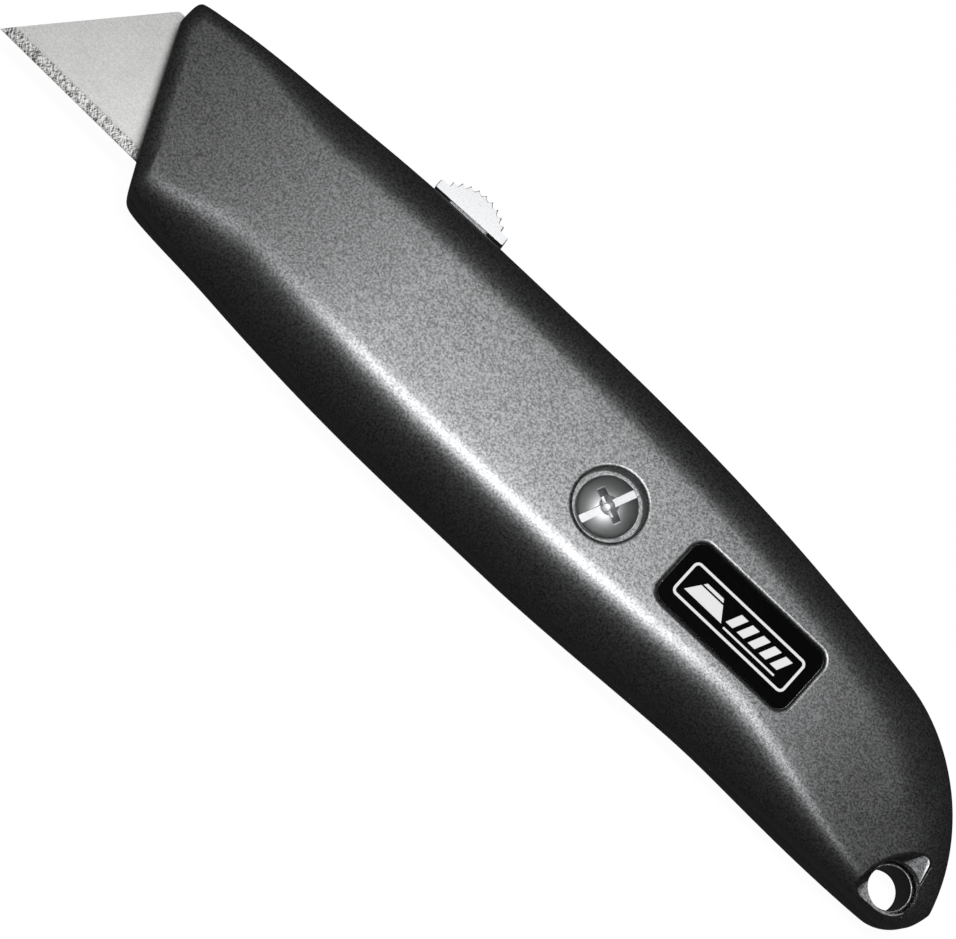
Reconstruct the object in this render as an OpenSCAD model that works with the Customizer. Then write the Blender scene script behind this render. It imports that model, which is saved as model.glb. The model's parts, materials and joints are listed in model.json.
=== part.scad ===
// Retractable utility knife lying on its side.
// +X runs from the blade's tip to the tail, along the slide's travel; +Y runs from the belly to the thumb
// button; +Z is up, towards the half casing that carries the screw. The modules draw in knife coordinates,
// with X and Y from the body screw's axis and Z from the plane where the two halves meet, and placed()
// moves them so that the origin is the centre of the whole knife's box at its base.

/* [Casing] */
// Length of the casing from nose to tail
body_l = 153.7; // [128:0.1:190]
// Height of the casing from belly to spine
body_h = 32.4; // [31:0.1:40]
// Half thickness of the casing at the grip
grip_half_t = 9.4; // [8.2:0.1:11.5]
// Half thickness of the casing at the nose
nose_half_t = 6.0; // [5.2:0.1:7.4]
// Half thickness of the casing at the tail
tail_half_t = 5.2; // [4.6:0.1:6.4]
// Wall of the casing around the hollow behind the screw
wall = 1.8; // [1.4:0.1:2.4]
// Height of the casing's rounded edge at the nose
edge_r = 1.2; // [0.6:0.1:1.4]
// Width of the casing's rounded edge at the nose
edge_w = 2.4; // [1.2:0.1:3]
// Height of the casing's rounded edge at the tail
tail_edge_r = 2.6; // [1:0.1:2.8]
// Width of the casing's rounded edge at the tail
tail_edge_w = 8.5; // [3:0.1:10]
// Height of the casing's rounding along the spine
spine_r = 3.8; // [2:0.1:4.8]
// Width of the casing's rounding along the spine
spine_w = 6.5; // [3:0.1:7]
// Width of the casing's rounding along the belly
belly_r = 9; // [5:0.1:10]
// Height of the belly's straight side below its rounding
belly_side = 1.5; // [0.5:0.1:2.5]
// Radius of the tail's lower corner
tail_r = 5.5; // [4:0.1:7]
// Height of the spine above the body screw's axis
screw_below_spine = 16.2; // [16:0.1:18]

/* [Blade] */
// Length of the blade along its cutting edge
blade_l = 61.5; // [50:0.1:74]
// Width of the blade
blade_w = 19; // [18:0.1:19.6]
// Thickness of the blade
blade_t = 0.6; // [0.4:0.05:0.75]
// Angle between the blade's ends and its cutting edge
blade_end_angle = 52; // [45:1:60]
// Width of the ground bevel along the cutting edge
blade_bevel = 1.6; // [0.8:0.1:2.4]
// Radius of the notches in the blade's back
blade_notch_r = 1.7; // [1.2:0.1:2]
// Distance between the two notches
blade_notch_pitch = 13; // [10:0.5:15]
// How far the blade's tip stands in front of the nose
blade_reach = 16.9; // [12:0.1:19]
// Angle between the cutting edge and the slide's travel
blade_tilt = 1.24; // [0:0.01:2]

/* [Slide] */
// Travel of the slide from blade out to blade in
slide_travel = 30; // [24:0.5:36]
// Number of steps between the slide's click positions
slide_steps = 3; // [2:1:4]
// Half thickness of the blade carrier
carrier_half_t = 2; // [1.6:0.1:2.3]
// Clearance of the carrier between the two halves
side_gap = 0.2; // [0.1:0.05:0.3]
// Clearance of the carrier above and below
guide_gap = 0.1; // [0.05:0.05:0.2]
// Free length at the end of the slide's channel
end_gap = 0.7; // [0.4:0.1:1.5]
// Clearance around the blade where it leaves the nose
blade_gap = 0.25; // [0.15:0.05:0.4]

/* [Latch and button] */
// Thickness of the latch spring
spring_t = 0.5; // [0.3:0.05:0.6]
// Length of the latch spring
spring_l = 26; // [24:0.5:30]
// Radius of the latch spring's ears
ear_r = 1.0; // [0.8:0.05:1.1]
// How far the thumb button presses in
press_travel = 0.5; // [0.3:0.05:0.5]
// Length of the thumb button's foot plate
button_l = 12; // [10:0.1:14]
// Width of the thumb button across the spine
button_w = 8.8; // [7:0.1:10]
// Height of the thumb button over its highest tooth
button_h = 3.75; // [3.2:0.05:4.5]
// Thickness of the thumb button's foot plate
button_foot = 1.3; // [1:0.1:1.6]
// Radius through the tips of the button's teeth
button_dome_r = 7; // [6:0.1:8]
// Number of teeth across the button's dome
button_teeth = 9; // [7:1:11]
// Length of the stem below the button
stem_l = 6.6; // [5:0.1:7]
// Half thickness of the stem
stem_half_t = 1.4; // [1:0.1:1.5]
// Clearance of the stem in the spine's slot
stem_gap = 0.3; // [0.2:0.05:0.4]

/* [Screw] */
// Radius of the screw's head
screw_head_r = 4.4; // [3.8:0.1:5]
// Height of the screw's head
screw_head_h = 2.4; // [2:0.1:2.6]
// Radius over the screw's thread
screw_r = 2; // [1.5:0.1:2.2]
// Depth of the screw's seat below the grip
screw_seat = 2.8; // [2.6:0.1:3.2]
// Width of the screw's slot
screw_slot_w = 1.35; // [0.8:0.05:1.5]
// Angle of the slot about the screw's axis
screw_slot_angle = 70; // [0:0.5:90]

/* [Lanyard hole] */
// Radius of the lanyard hole through its tube
lanyard_r = 2.95; // [2:0.05:3.2]
// Wall of the tube around the lanyard hole
lanyard_wall = 0.4; // [0.3:0.05:0.6]
// Distance of the lanyard hole in front of the tail's end
lanyard_from_tail = 6.35; // [5.6:0.05:8]
// Height of the lanyard hole above the tail's lower edge
lanyard_above_belly = 4.4; // [4.3:0.05:6]
// Depth of the pocket around the lanyard hole
lanyard_pocket = 1.2; // [0.8:0.1:1.6]

/* [Label] */
// Length of the label's recess
label_l = 23.4; // [18:0.1:28]
// Height of the label's recess
label_h = 10.2; // [8:0.1:12]
// Depth of the label's recess
label_depth = 0.8; // [0.5:0.1:1]
// Thickness of the label plate
label_t = 0.35; // [0.2:0.05:0.45]
// Distance of the recess behind the screw's axis
label_from_screw = 11.8; // [9:0.1:14]

/* [Hidden] */

$fn = 64;
cut = 0.5;            // how far a cutter runs past the face that it opens
spare_count = 5;      // blades stored under the carrier

// Along the knife, from the screw towards the nose
boss_r = 4.2;
channel_end = -boss_r - 1.1;
carrier_rear = channel_end - end_gap - slide_travel;
blade_rear_gap = 4.9;
tip_x = carrier_rear - blade_rear_gap - blade_l;
nose_x = tip_x + blade_reach;
tail_x = body_l + nose_x;

// Across the knife, from the spine down
spine_y = screw_below_spine;
belly_y = spine_y - body_h;
roof_cover = 2.7;     // metal between the spine and the latch spring's channel
roof_y = spine_y - roof_cover;
spring_gap = 0.6;     // between the spring and its channel's roof
spring_top = roof_y - spring_gap;
spring_low = spring_top - spring_t;
press_relief = 0.1;   // left under the spring when the button is pressed home
carrier_top = spring_low - press_travel - press_relief;
tip_y = carrier_top - 0.1 - blade_w;
edge_flange = 1.8;    // of the carrier below the blade's cutting edge
carrier_low = tip_y - blade_l * sin(blade_tilt) - edge_flange;
bay_ledge = 1.95;     // ledge that the carrier's lower flange slides on
bay_y = carrier_low + bay_ledge;

// Through the knife
channel_z = carrier_half_t + side_gap;
bay_z = channel_z + 0.25 + spare_count * blade_t;

// Outline of the casing: a level crest on the spine, falling towards nose and tail
crest_from = -38;
crest_to = -18;
nose_drop = 3.1;      // spine at the nose, below the crest
nose_drop_power = 1.95;
nose_corner_r = 0.7;
tail_drop = 9.5;      // spine at the tail, below the crest, before its corner is rounded
tail_drop_power = 2.15;
tail_bend = 22.2;     // length of the tail's rounded upper corner
tail_bend_power = 0.625;
nose_front = 3.9;     // height of the nose's upright front below its top
nose_rake = 26.3;     // angle of the nose's face below that
chin_r = 1.6;         // blend between the nose's face and the belly
belly_nose_rise = 5.55;
belly_crest_from = -20;
belly_crest_to = -5;
belly_tail_rise = 1.4;
belly_tail_run = 40;  // length over which the belly rises towards the tail
grip_from = -38;      // the grip's full thickness starts here
grip_to = 14;         // and ends here
nose_thin_power = 1.6;
tail_thin_power = 2.4;
nose_edge_to = 6;     // length of the nose that keeps its small edge radius
nose_edge_run = 22;   // length over which that grows into the grip's roundings
tail_edge_to = 8;     // length of the tail that keeps its own edge radius
tail_edge_run = 34;   // length over which the grip's roundings shrink to that
side_least = 0.8;     // least height of the upright side below the roundings

function clamp01(t) = min(1, max(0, t));
function ease(t) = let (s = clamp01(t)) s * s * (3 - 2 * s);
function mix(a, b, t) = a + (b - a) * t;
function round_drop(d, r) = d >= r ? 0 : r - sqrt(max(0, r * r - (r - d) * (r - d)));
function soft_max(a, b, k) = (a + b + sqrt((a - b) * (a - b) + k * k)) / 2;

function tail_low_y() = belly_y + belly_tail_rise;
function tail_corner(x) = let (t = clamp01((x - tail_x + tail_bend) / tail_bend))
    (spine_y - tail_drop - tail_low_y() - tail_r) * (1 - pow(1 - t * t, tail_bend_power));
function nose_fall(x) = nose_drop * pow(max(0, crest_from - x) / (crest_from - nose_x), nose_drop_power);
function tail_fall(x) = tail_drop * pow(max(0, x - crest_to) / (tail_x - crest_to), tail_drop_power);
function top_y(x) = spine_y - nose_fall(x) - tail_fall(x) - tail_corner(x)
    - round_drop(x - nose_x, nose_corner_r);
function nose_line(x) = spine_y - nose_drop - nose_front - (x - nose_x) / tan(nose_rake);
function belly_line(x) = belly_y
    + belly_nose_rise * pow(max(0, belly_crest_from - x) / (belly_crest_from - nose_x), 2)
    + belly_tail_rise * ease((x - belly_crest_to) / belly_tail_run)
    + round_drop(tail_x - x, tail_r);
function low_y(x) = soft_max(nose_line(x), belly_line(x), chin_r);
function half_t(x) = grip_half_t
    - (grip_half_t - nose_half_t) * pow(max(0, grip_from - x) / (grip_from - nose_x), nose_thin_power)
    - (grip_half_t - tail_half_t) * pow(max(0, x - grip_to) / (tail_x - grip_to), tail_thin_power);
function nose_end_drop(x) = round_drop((x - nose_x) * edge_r / edge_w, edge_r);
function tail_end_drop(x) = round_drop((tail_x - x) * tail_edge_r / tail_edge_w, tail_edge_r);

// A value along the knife that is its own at the grip and changes towards the nose and the tail
function along(x, nose, grip, tail) = let (
        to_grip = ease((x - nose_x - nose_edge_to) / nose_edge_run),
        to_tail = ease((x - tail_x + tail_edge_run + tail_edge_to) / tail_edge_run))
    mix(mix(nose, grip, to_grip), tail, to_tail);
slope_step = 0.05;
function lean(y0, y1) = min(3, sqrt(1 + pow((y1 - y0) / slope_step, 2)));
function top_lean(x) = lean(top_y(x - slope_step), top_y(x));
function low_lean(x) = lean(low_y(x - slope_step), low_y(x));

// One section of a half at x, shrunk by inset, as [y, z] points from the belly round to the spine
low_steps = 7;
top_steps = 5;
function arc_points(y, z, ry, rz, from, to, steps) =
    [for (i = [0:steps]) let (a = mix(from, to, i / steps)) [y + ry * cos(a), z + rz * sin(a)]];
function section(x, inset) = let (
        h = half_t(x) - inset - (inset > 0 ? 0 : nose_end_drop(x) + tail_end_drop(x)),
        y0 = low_y(x) + inset * low_lean(x),
        y1 = top_y(x) - inset * top_lean(x),
        room = (y1 - y0) * 0.48,
        shrink = inset * 0.6,
        low_ry = min(room, along(x, edge_w, belly_r, tail_edge_r) * low_lean(x) - shrink),
        low_rz = min(h - side_least, along(x, edge_r, h - belly_side, tail_edge_r)),
        top_ry = min(room, along(x, edge_w, spine_w, tail_edge_w) * top_lean(x) - shrink),
        top_rz = min(h - side_least, along(x, edge_r, spine_r, tail_edge_r)))
    concat(arc_points(y0 + low_ry, h - low_rz, low_ry, low_rz, 180, 90, low_steps),
        arc_points(y1 - top_ry, h - top_rz, top_ry, top_rz, 90, 0, top_steps));

// A solid through the sections at the given stations, closed flat at the height base_z
module loft(stations, inset, base_z) {
    rings = [for (x = stations) let (s = section(x, inset), last = len(s) - 1)
        concat([[x, s[0][0], base_z]], [for (p = s) [x, p[0], p[1]]], [[x, s[last][0], base_z]])];
    n = len(rings[0]);
    m = len(rings);
    sides = [for (i = [0:m - 2]) for (j = [0:n - 1]) let (a = i * n + j, b = i * n + (j + 1) % n)
        each [[a, b, a + n], [b, b + n, a + n]]];
    caps = [[for (j = [n - 1:-1:0]) j], [for (j = [0:n - 1]) (m - 1) * n + j]];
    polyhedron([for (r = rings) each r], concat(sides, caps));
}

edge_stations = 4;
nose_run = 15;        // stations are closer along the nose
outer_stations = concat(
    [for (i = [0:edge_stations]) nose_x + edge_w * (1 - cos(90 * i / edge_stations))],
    [for (i = [1:7]) mix(nose_x + edge_w, nose_x + nose_run, i / 7)],
    [for (i = [1:18]) mix(nose_x + nose_run, tail_x - 16, i / 18)],
    [for (i = [1:12]) tail_x - 16 * (1 - sin(90 * i / 12)) - 0.02]);
hollow_from = boss_r + 1.1;
hollow_to = tail_x - lanyard_from_tail - 5.4;
hollow_stations = [for (i = [0:12]) mix(hollow_from, hollow_to, i / 12)];

// Middle of the whole knife's box, which placed() moves to the origin
button_lift = press_travel + 0.35;
button_y = spine_y + button_lift;
mid_x = (tip_x + tail_x) / 2;
mid_y = (belly_y + button_y + button_h) / 2;
module placed() {
    translate([-mid_x, -mid_y, grip_half_t]) children();
}

casing_grey = [0.24, 0.245, 0.25];
steel = [0.72, 0.73, 0.74];
bright_steel = [0.86, 0.87, 0.88];

// ---- Casing halves ----

// A box between two corners
module span(low, high) {
    translate(low) cube(high - low);
}

// Channel that the carrier slides in, with its front wall following the nose
channel_wall = 2.5;
channel_front = nose_x + 2.4;
function front_line(y, gap) = channel_front + gap + max(0, nose_line(nose_x) - y) * tan(nose_rake);
module carrier_outline(gap) {
    polygon([[front_line(spine_y, -gap), carrier_top + gap], [front_line(spine_y, -gap), nose_line(nose_x)],
        [front_line(carrier_low - gap, -gap), carrier_low - gap],
        [channel_end, carrier_low - gap], [channel_end, carrier_top + gap]]);
}

// The spare blades' outline with room round it, and the pocket that holds them
spare_gap = 0.3;
spare_x = channel_end - spare_gap - blade_l;
module bay_outline() {
    run = blade_w / tan(blade_end_angle);
    x0 = spare_x - spare_gap;
    x1 = spare_x + blade_l + spare_gap;
    polygon([[x0, bay_y - spare_gap], [x1, bay_y - spare_gap], [x1, bay_y + 1.5],
        [x1 - run, bay_y + blade_w + spare_gap], [x0 + run, bay_y + blade_w + spare_gap], [x0, bay_y + 1.5]]);
}

// Slot in the spine for the button's stem
stem_x1 = carrier_rear - 0.6;
stem_x0 = stem_x1 - stem_l;
button_x = (stem_x0 + stem_x1) / 2;
spring_x0 = carrier_rear - spring_l;
spring_half_w = 3.1;
ear_from = 1.9;
module spine_slot() {
    span([stem_x0 - stem_gap, carrier_top, -cut],
        [stem_x1 + slide_travel + stem_gap, spine_y + cut, stem_half_t + stem_gap]);
}

// Channel of the latch spring under the spine, with the notches that its ears click into
module spring_channel() {
    span([spring_x0 - end_gap, carrier_top - 0.2, -cut], [channel_end, roof_y, spring_half_w + stem_gap]);
    for (i = [0:slide_steps])
        translate([button_x + slide_travel * i / slide_steps, spring_top, ear_from - 0.2])
            cylinder(r = ear_r + 0.25, h = spring_half_w + stem_gap - ear_from + 0.2);
}

// One half of the casing with everything that both halves share, parting plane at z = 0
module half_casing() {
    difference() {
        loft(outer_stations, 0, 0);
        loft(hollow_stations, wall, -cut);
        translate([0, 0, -cut]) linear_extrude(channel_z + cut) carrier_outline(guide_gap);
        translate([0, 0, -cut]) linear_extrude(bay_z + cut) bay_outline();
        span([nose_x - cut, tip_y - blade_l * sin(blade_tilt) / 2 - blade_gap, -cut],
            [front_line(tip_y - 1, 1), carrier_top + blade_gap, blade_t / 2 + blade_gap]);
        spring_channel();
        spine_slot();
    }
}

// Dowels that line the two halves up, in the bridge beside the screw and in a boss near the tail
dowel_r = 1.3;
dowel_h = 2.2;
dowel_gap = 0.1;
dowel_boss_r = 2.6;
dowel_at = [[0, bay_y - 1.3], [hollow_to - 6.5, 1.5]];
module dowel_boss() {
    translate([dowel_at[1][0], dowel_at[1][1], 0])
        cylinder(r = dowel_boss_r, h = half_t(dowel_at[1][0]) - wall / 2);
}
module at_dowels() {
    for (p = dowel_at) translate([p[0], p[1], 0]) children();
}

// Lanyard hole: a tube on the lower half that reaches up into a wider hole in the upper half
lanyard_x = tail_x - lanyard_from_tail;
lanyard_y = tail_low_y() + lanyard_above_belly;
lanyard_out_r = lanyard_r + lanyard_wall;
lanyard_gap = 0.2;
lanyard_top = tail_half_t - lanyard_pocket - 1.4;
module lanyard_pocket_outline() {
    hull()
        for (p = [[0.8, 5.1], [-2.6, -3.1], [2.5, -2.9]])
            translate([lanyard_x + p[0], lanyard_y + p[1]]) circle(0.9, $fn = 32);
}
module lanyard_pocket_cut() {
    translate([0, 0, half_t(lanyard_x) - lanyard_pocket])
        linear_extrude(lanyard_pocket + cut) lanyard_pocket_outline();
}

// Screw: its seat in the upper half and its bore in the lower half
screw_hole_r = screw_r + 0.3;
screw_bore_r = screw_r + 0.05;
screw_bore_depth = 6.4;
seat_r = screw_head_r + 0.6;
seat_z = grip_half_t - screw_seat;

// Underside of the block in the carrier, behind the blade
block_y = carrier_top - 7.8;

// Ribs of the upper half that keep the blade down in the carrier
rib_t = 1.4;
block_gap = 1;        // between the carrier's block and the rib below it
rib_gap = 0.2;
rib_at = [tip_y + 1.3, block_y - block_gap - rib_t];
module hold_down_ribs() {
    for (y = rib_at)
        span([front_line(y, 1), y, blade_t / 2 + rib_gap], [channel_end + 0.5, y + rib_t, bay_z + 0.3]);
}

// The label lies in a recess that follows the casing's slope between its two ends
label_x0 = label_from_screw;
label_x1 = label_from_screw + label_l;
label_z = (half_t(label_x0) + half_t(label_x1)) / 2;
label_slope = atan2(half_t(label_x1) - half_t(label_x0), label_l);
label_corner = 1.9;
module rounded_plate(l, h, r, t) {
    linear_extrude(t)
        polygon([for (q = [[1, 1, 0], [-1, 1, 90], [-1, -1, 180], [1, -1, 270]]) for (a = [0:15:90])
            [q[0] * (l / 2 - r) + r * cos(q[2] + a), q[1] * (h / 2 - r) + r * sin(q[2] + a)]]);
}
module on_label() {
    translate([(label_x0 + label_x1) / 2, 0.25, label_z]) rotate([0, -label_slope, 0])
        translate([0, 0, -label_depth]) children();
}

module lower_casing() {
    color(casing_grey) difference() {
        union() {
            mirror([0, 0, 1]) half_casing();
            mirror([0, 0, 1]) dowel_boss();
            at_dowels() translate([0, 0, -0.5]) cylinder(r = dowel_r, h = dowel_h + 0.5);
            translate([lanyard_x, lanyard_y, -tail_half_t / 2])
                cylinder(r = lanyard_out_r, h = lanyard_top + tail_half_t / 2);
        }
        translate([0, 0, -screw_bore_depth]) cylinder(r = screw_bore_r, h = screw_bore_depth + cut);
        translate([lanyard_x, lanyard_y, -tail_half_t - 2]) cylinder(r = lanyard_r, h = 2 * tail_half_t + 4);
        mirror([0, 0, 1]) lanyard_pocket_cut();
        span([nose_x, belly_y, -grip_half_t - 1], [tail_x, spine_y, -grip_half_t + rest_trim]);
    }
}
rest_trim = 0.03;     // trimmed off the grip so that the knife rests on one flat face

module upper_casing() {
    color(casing_grey) difference() {
        union() {
            half_casing();
            dowel_boss();
            hold_down_ribs();
        }
        translate([0, 0, -cut]) cylinder(r = screw_hole_r, h = grip_half_t + 1);
        translate([0, 0, seat_z]) cylinder(r = seat_r, h = screw_seat + cut);
        at_dowels() translate([0, 0, -cut]) cylinder(r = dowel_r + dowel_gap, h = dowel_h + 0.3 + cut);
        translate([lanyard_x, lanyard_y, -cut])
            cylinder(r = lanyard_out_r + lanyard_gap, h = tail_half_t + 2);
        lanyard_pocket_cut();
        on_label() rounded_plate(label_l, label_h, label_corner, label_depth + 2);
    }
}

module label_plate() {
    color([0.03, 0.03, 0.035]) on_label()
        rounded_plate(label_l - 0.2, label_h - 0.2, label_corner - 0.1, label_t);
}

// ---- Screw ----

thread_pitch = 0.7;
thread_depth = 0.35;
thread_turns = 7;
module body_screw() {
    head = [[screw_head_r, seat_z], [screw_head_r, seat_z + 1.2], [screw_head_r - 0.25, seat_z + 1.65],
        [screw_head_r - 0.8, seat_z + 2.0], [screw_head_r - 1.9, seat_z + 2.3], [0, seat_z + screw_head_h]];
    thread = [for (i = [0:thread_turns - 1]) let (z = -screw_bore_depth + 0.9 + i * thread_pitch)
        each [[screw_r - thread_depth, z], [screw_r, z + thread_pitch / 2]]];
    shank_z = -screw_bore_depth + 0.9 + thread_turns * thread_pitch;
    color(bright_steel) difference() {
        rotate_extrude()
            polygon(concat([[0, -screw_bore_depth + 0.4], [screw_r - thread_depth - 0.2, -screw_bore_depth + 0.4]],
                thread, [[screw_r - 0.1, shank_z], [screw_r - 0.1, seat_z]], head));
        for (a = [[0, 2 * screw_head_r + 1], [90, screw_head_r * 1.25]])
            translate([0, 0, seat_z + screw_head_h - 1.1]) rotate([0, 0, screw_slot_angle + a[0]])
                translate([-a[1] / 2, -screw_slot_w / 2, 0]) cube([a[1], screw_slot_w, 2]);
    }
}

// ---- Blades ----

// A blade with its front corner at the origin, its cutting edge along +X and its mid-plane at z = 0
module blade_blank() {
    run = blade_w / tan(blade_end_angle);
    difference() {
        intersection() {
            translate([0, 0, -blade_t]) linear_extrude(2 * blade_t)
                polygon([[0, 0], [blade_l, 0], [blade_l - run, blade_w], [run, blade_w]]);
            translate([-1, 0, 0]) rotate([90, 0, 90]) linear_extrude(blade_l + 2)
                polygon([[0, -0.02], [blade_bevel, -blade_t / 2], [blade_w + 1, -blade_t / 2],
                    [blade_w + 1, blade_t / 2], [blade_bevel, blade_t / 2], [0, 0.02]]);
        }
        for (x = notch_at) translate([x, notch_y, -1]) {
            cylinder(r = blade_notch_r, h = 2);
            translate([-blade_notch_r, 0, 0]) cube([2 * blade_notch_r, blade_w, 2]);
        }
    }
}
notch_at = [blade_l / 2 - blade_notch_pitch / 2, blade_l / 2 + blade_notch_pitch / 2];
notch_y = blade_w - 1.5;

module at_blade() {
    translate([tip_x, tip_y, 0]) rotate([0, 0, -blade_tilt]) children();
}
module blade() {
    color(steel) at_blade() blade_blank();
}
module spare_blade(number) {
    color(steel) translate([spare_x, bay_y, -bay_z + (number - 0.5) * blade_t]) blade_blank();
}

// ---- Slide ----

nub_r = blade_notch_r - 0.15;
module blade_carrier() {
    run = blade_w / tan(blade_end_angle);
    web_top = -blade_t / 2;
    front = front_line(spine_y, 0.8);
    flange_y = carrier_top - spring_flange;
    color([0.55, 0.56, 0.57]) difference() {
        union() {
            // Plate under the blade, cut back behind the nose
            translate([0, 0, -carrier_half_t]) linear_extrude(web_top + carrier_half_t)
                polygon([[front, carrier_top], [front, nose_line(nose_x)],
                    [front_line(carrier_low, 0.8), carrier_low], [carrier_rear, carrier_low],
                    [carrier_rear, carrier_top]]);
            // Nubs in the blade's notches
            at_blade() for (x = notch_at) translate([x, notch_y, web_top - 0.5])
                cylinder(r = nub_r, h = blade_t + 1.4);
            // Block behind the blade's rear end, as thick as the channel, with the flange over the blade
            translate([0, 0, -carrier_half_t]) linear_extrude(2 * carrier_half_t)
                polygon([[carrier_rear, carrier_top], [spring_x0, carrier_top], [spring_x0, flange_y],
                    [rear_edge_x(flange_y), flange_y], [rear_edge_x(block_y), block_y], [carrier_rear, block_y]]);
            // Pad that the spring is riveted to
            span([spring_x0, carrier_top - 0.1, -carrier_half_t],
                [spring_x0 + pad_l, spring_low, carrier_half_t]);
        }
        rivet_axis() translate([0, 0, -cut]) cylinder(r = rivet_r, h = 3);
    }
}
pad_l = 6;
spring_flange = 0.3;
function rear_edge_x(y) = tip_x + blade_l - (y - tip_y) / tan(blade_end_angle + blade_tilt) + 0.5;

// Leaf spring under the spine, with an ear on each side of the stem
module latch_spring() {
    color(bright_steel) difference() {
        union() {
            span([spring_x0, spring_low, -spring_half_w], [carrier_rear, spring_top, spring_half_w]);
            intersection() {
                union() for (z = [ear_from, -spring_half_w])
                    translate([button_x, spring_top, z]) cylinder(r = ear_r, h = spring_half_w - ear_from);
                span([spring_x0, spring_low, -spring_half_w], [carrier_rear, roof_y + ear_r, spring_half_w]);
            }
        }
        rivet_axis() translate([0, 0, -cut]) cylinder(r = rivet_r, h = 3);
    }
}

rivet_r = 0.8;
rivet_head_r = 1.5;
rivet_head_h = 0.35;
module rivet_axis() {
    translate([spring_x0 + pad_l / 2, carrier_top - spring_flange, 0]) rotate([-90, 0, 0]) children();
}
module spring_rivet() {
    shank = spring_top - carrier_top + spring_flange;
    color(bright_steel) rivet_axis() {
        cylinder(r = rivet_r, h = shank);
        translate([0, 0, shank]) cylinder(r = rivet_head_r, h = rivet_head_h);
    }
}

// Thumb button: a foot plate along the spine, a toothed dome, and a stem down to the spring
button_tilt = 1.4;
module thumb_button() {
    centre = button_h - button_dome_r;
    reach = 40.5;
    pitch = 2 * reach / (button_teeth - 1);
    valley = 0.55;
    teeth = [for (i = [0:button_teeth - 1]) let (a = reach - i * pitch) each [
        [(button_dome_r - valley) * sin(a + pitch / 2), centre + (button_dome_r - valley) * cos(a + pitch / 2)],
        [button_dome_r * sin(a), centre + button_dome_r * cos(a)]]];
    color([0.9, 0.9, 0.92]) {
        translate([button_x, button_y, -button_w / 2]) rotate([0, 0, button_tilt])
            linear_extrude(button_w)
                polygon(concat([[-button_l / 2, 0], [button_l / 2, 0], [button_l / 2, button_foot]], teeth,
                    [[-button_l / 2, button_foot]]));
        span([stem_x0, spring_top + 0.05, -stem_half_t], [stem_x1, button_y + button_foot / 2, stem_half_t]);
    }
}

placed() lower_casing();
placed() upper_casing();
placed() body_screw();
placed() blade();
placed() blade_carrier();
placed() latch_spring();
placed() spring_rivet();
placed() thumb_button();
placed() label_plate();
for (number = [1:spare_count])
    placed() spare_blade(number);
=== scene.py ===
"""Detailed pieces of a retractable utility knife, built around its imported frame, and a plain studio."""

import json
import math

import bmesh
import bpy
from bpy.props import FloatProperty, FloatVectorProperty, IntProperty, PointerProperty
from mathutils import Matrix, Vector
from mathutils.bvhtree import BVHTree
from mathutils.interpolate import poly_3d_calc


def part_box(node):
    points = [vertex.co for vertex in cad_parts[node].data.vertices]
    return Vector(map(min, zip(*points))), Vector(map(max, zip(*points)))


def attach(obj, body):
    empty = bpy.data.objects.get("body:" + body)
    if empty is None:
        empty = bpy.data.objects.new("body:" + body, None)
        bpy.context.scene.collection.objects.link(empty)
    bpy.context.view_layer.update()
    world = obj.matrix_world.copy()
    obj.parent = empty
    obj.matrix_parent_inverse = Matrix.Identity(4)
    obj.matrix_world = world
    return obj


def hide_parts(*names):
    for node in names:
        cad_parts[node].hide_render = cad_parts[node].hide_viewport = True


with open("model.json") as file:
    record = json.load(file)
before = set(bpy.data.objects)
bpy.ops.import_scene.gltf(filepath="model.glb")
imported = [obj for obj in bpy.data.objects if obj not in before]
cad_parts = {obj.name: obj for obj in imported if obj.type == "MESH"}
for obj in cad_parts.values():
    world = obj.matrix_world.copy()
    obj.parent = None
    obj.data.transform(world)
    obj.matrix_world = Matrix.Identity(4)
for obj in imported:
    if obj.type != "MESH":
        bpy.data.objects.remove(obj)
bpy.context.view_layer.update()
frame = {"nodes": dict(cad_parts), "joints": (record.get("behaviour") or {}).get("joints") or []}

bl_info = {
    "name": "Utility knife",
    "version": (1, 0, 0),
    "blender": (4, 5, 0),
    "location": "3D View > Sidebar > Knife",
    "description": "Builds the casing, blades, slide, button, screw and label of a retractable utility knife",
    "category": "Object",
}

MM = 0.001

# The knife is drawn from its own zero: the screw's axis, on the plane where the two halves meet.
ZERO = Vector(next(j["pos_m"] for j in frame["joints"] if j["name"] == "screw_turn"))


def extent(node):
    """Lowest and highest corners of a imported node, from the knife's zero."""
    low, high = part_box(node)
    return low - ZERO, high - ZERO


# ---------------------------------------------------------------- Sizes and colours


def length(name, description, value):
    return FloatProperty(name=name, description=description, default=value * MM, unit="LENGTH", min=0.0)


def angle(name, description, degrees):
    return FloatProperty(name=name, description=description, default=math.radians(degrees), subtype="ANGLE")


def colour(name, description, value):
    return FloatVectorProperty(name=name, description=description, default=value, subtype="COLOR",
                               size=3, min=0.0, max=1.0)


def amount(name, description, value):
    return FloatProperty(name=name, description=description, default=value, min=0.0)


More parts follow.
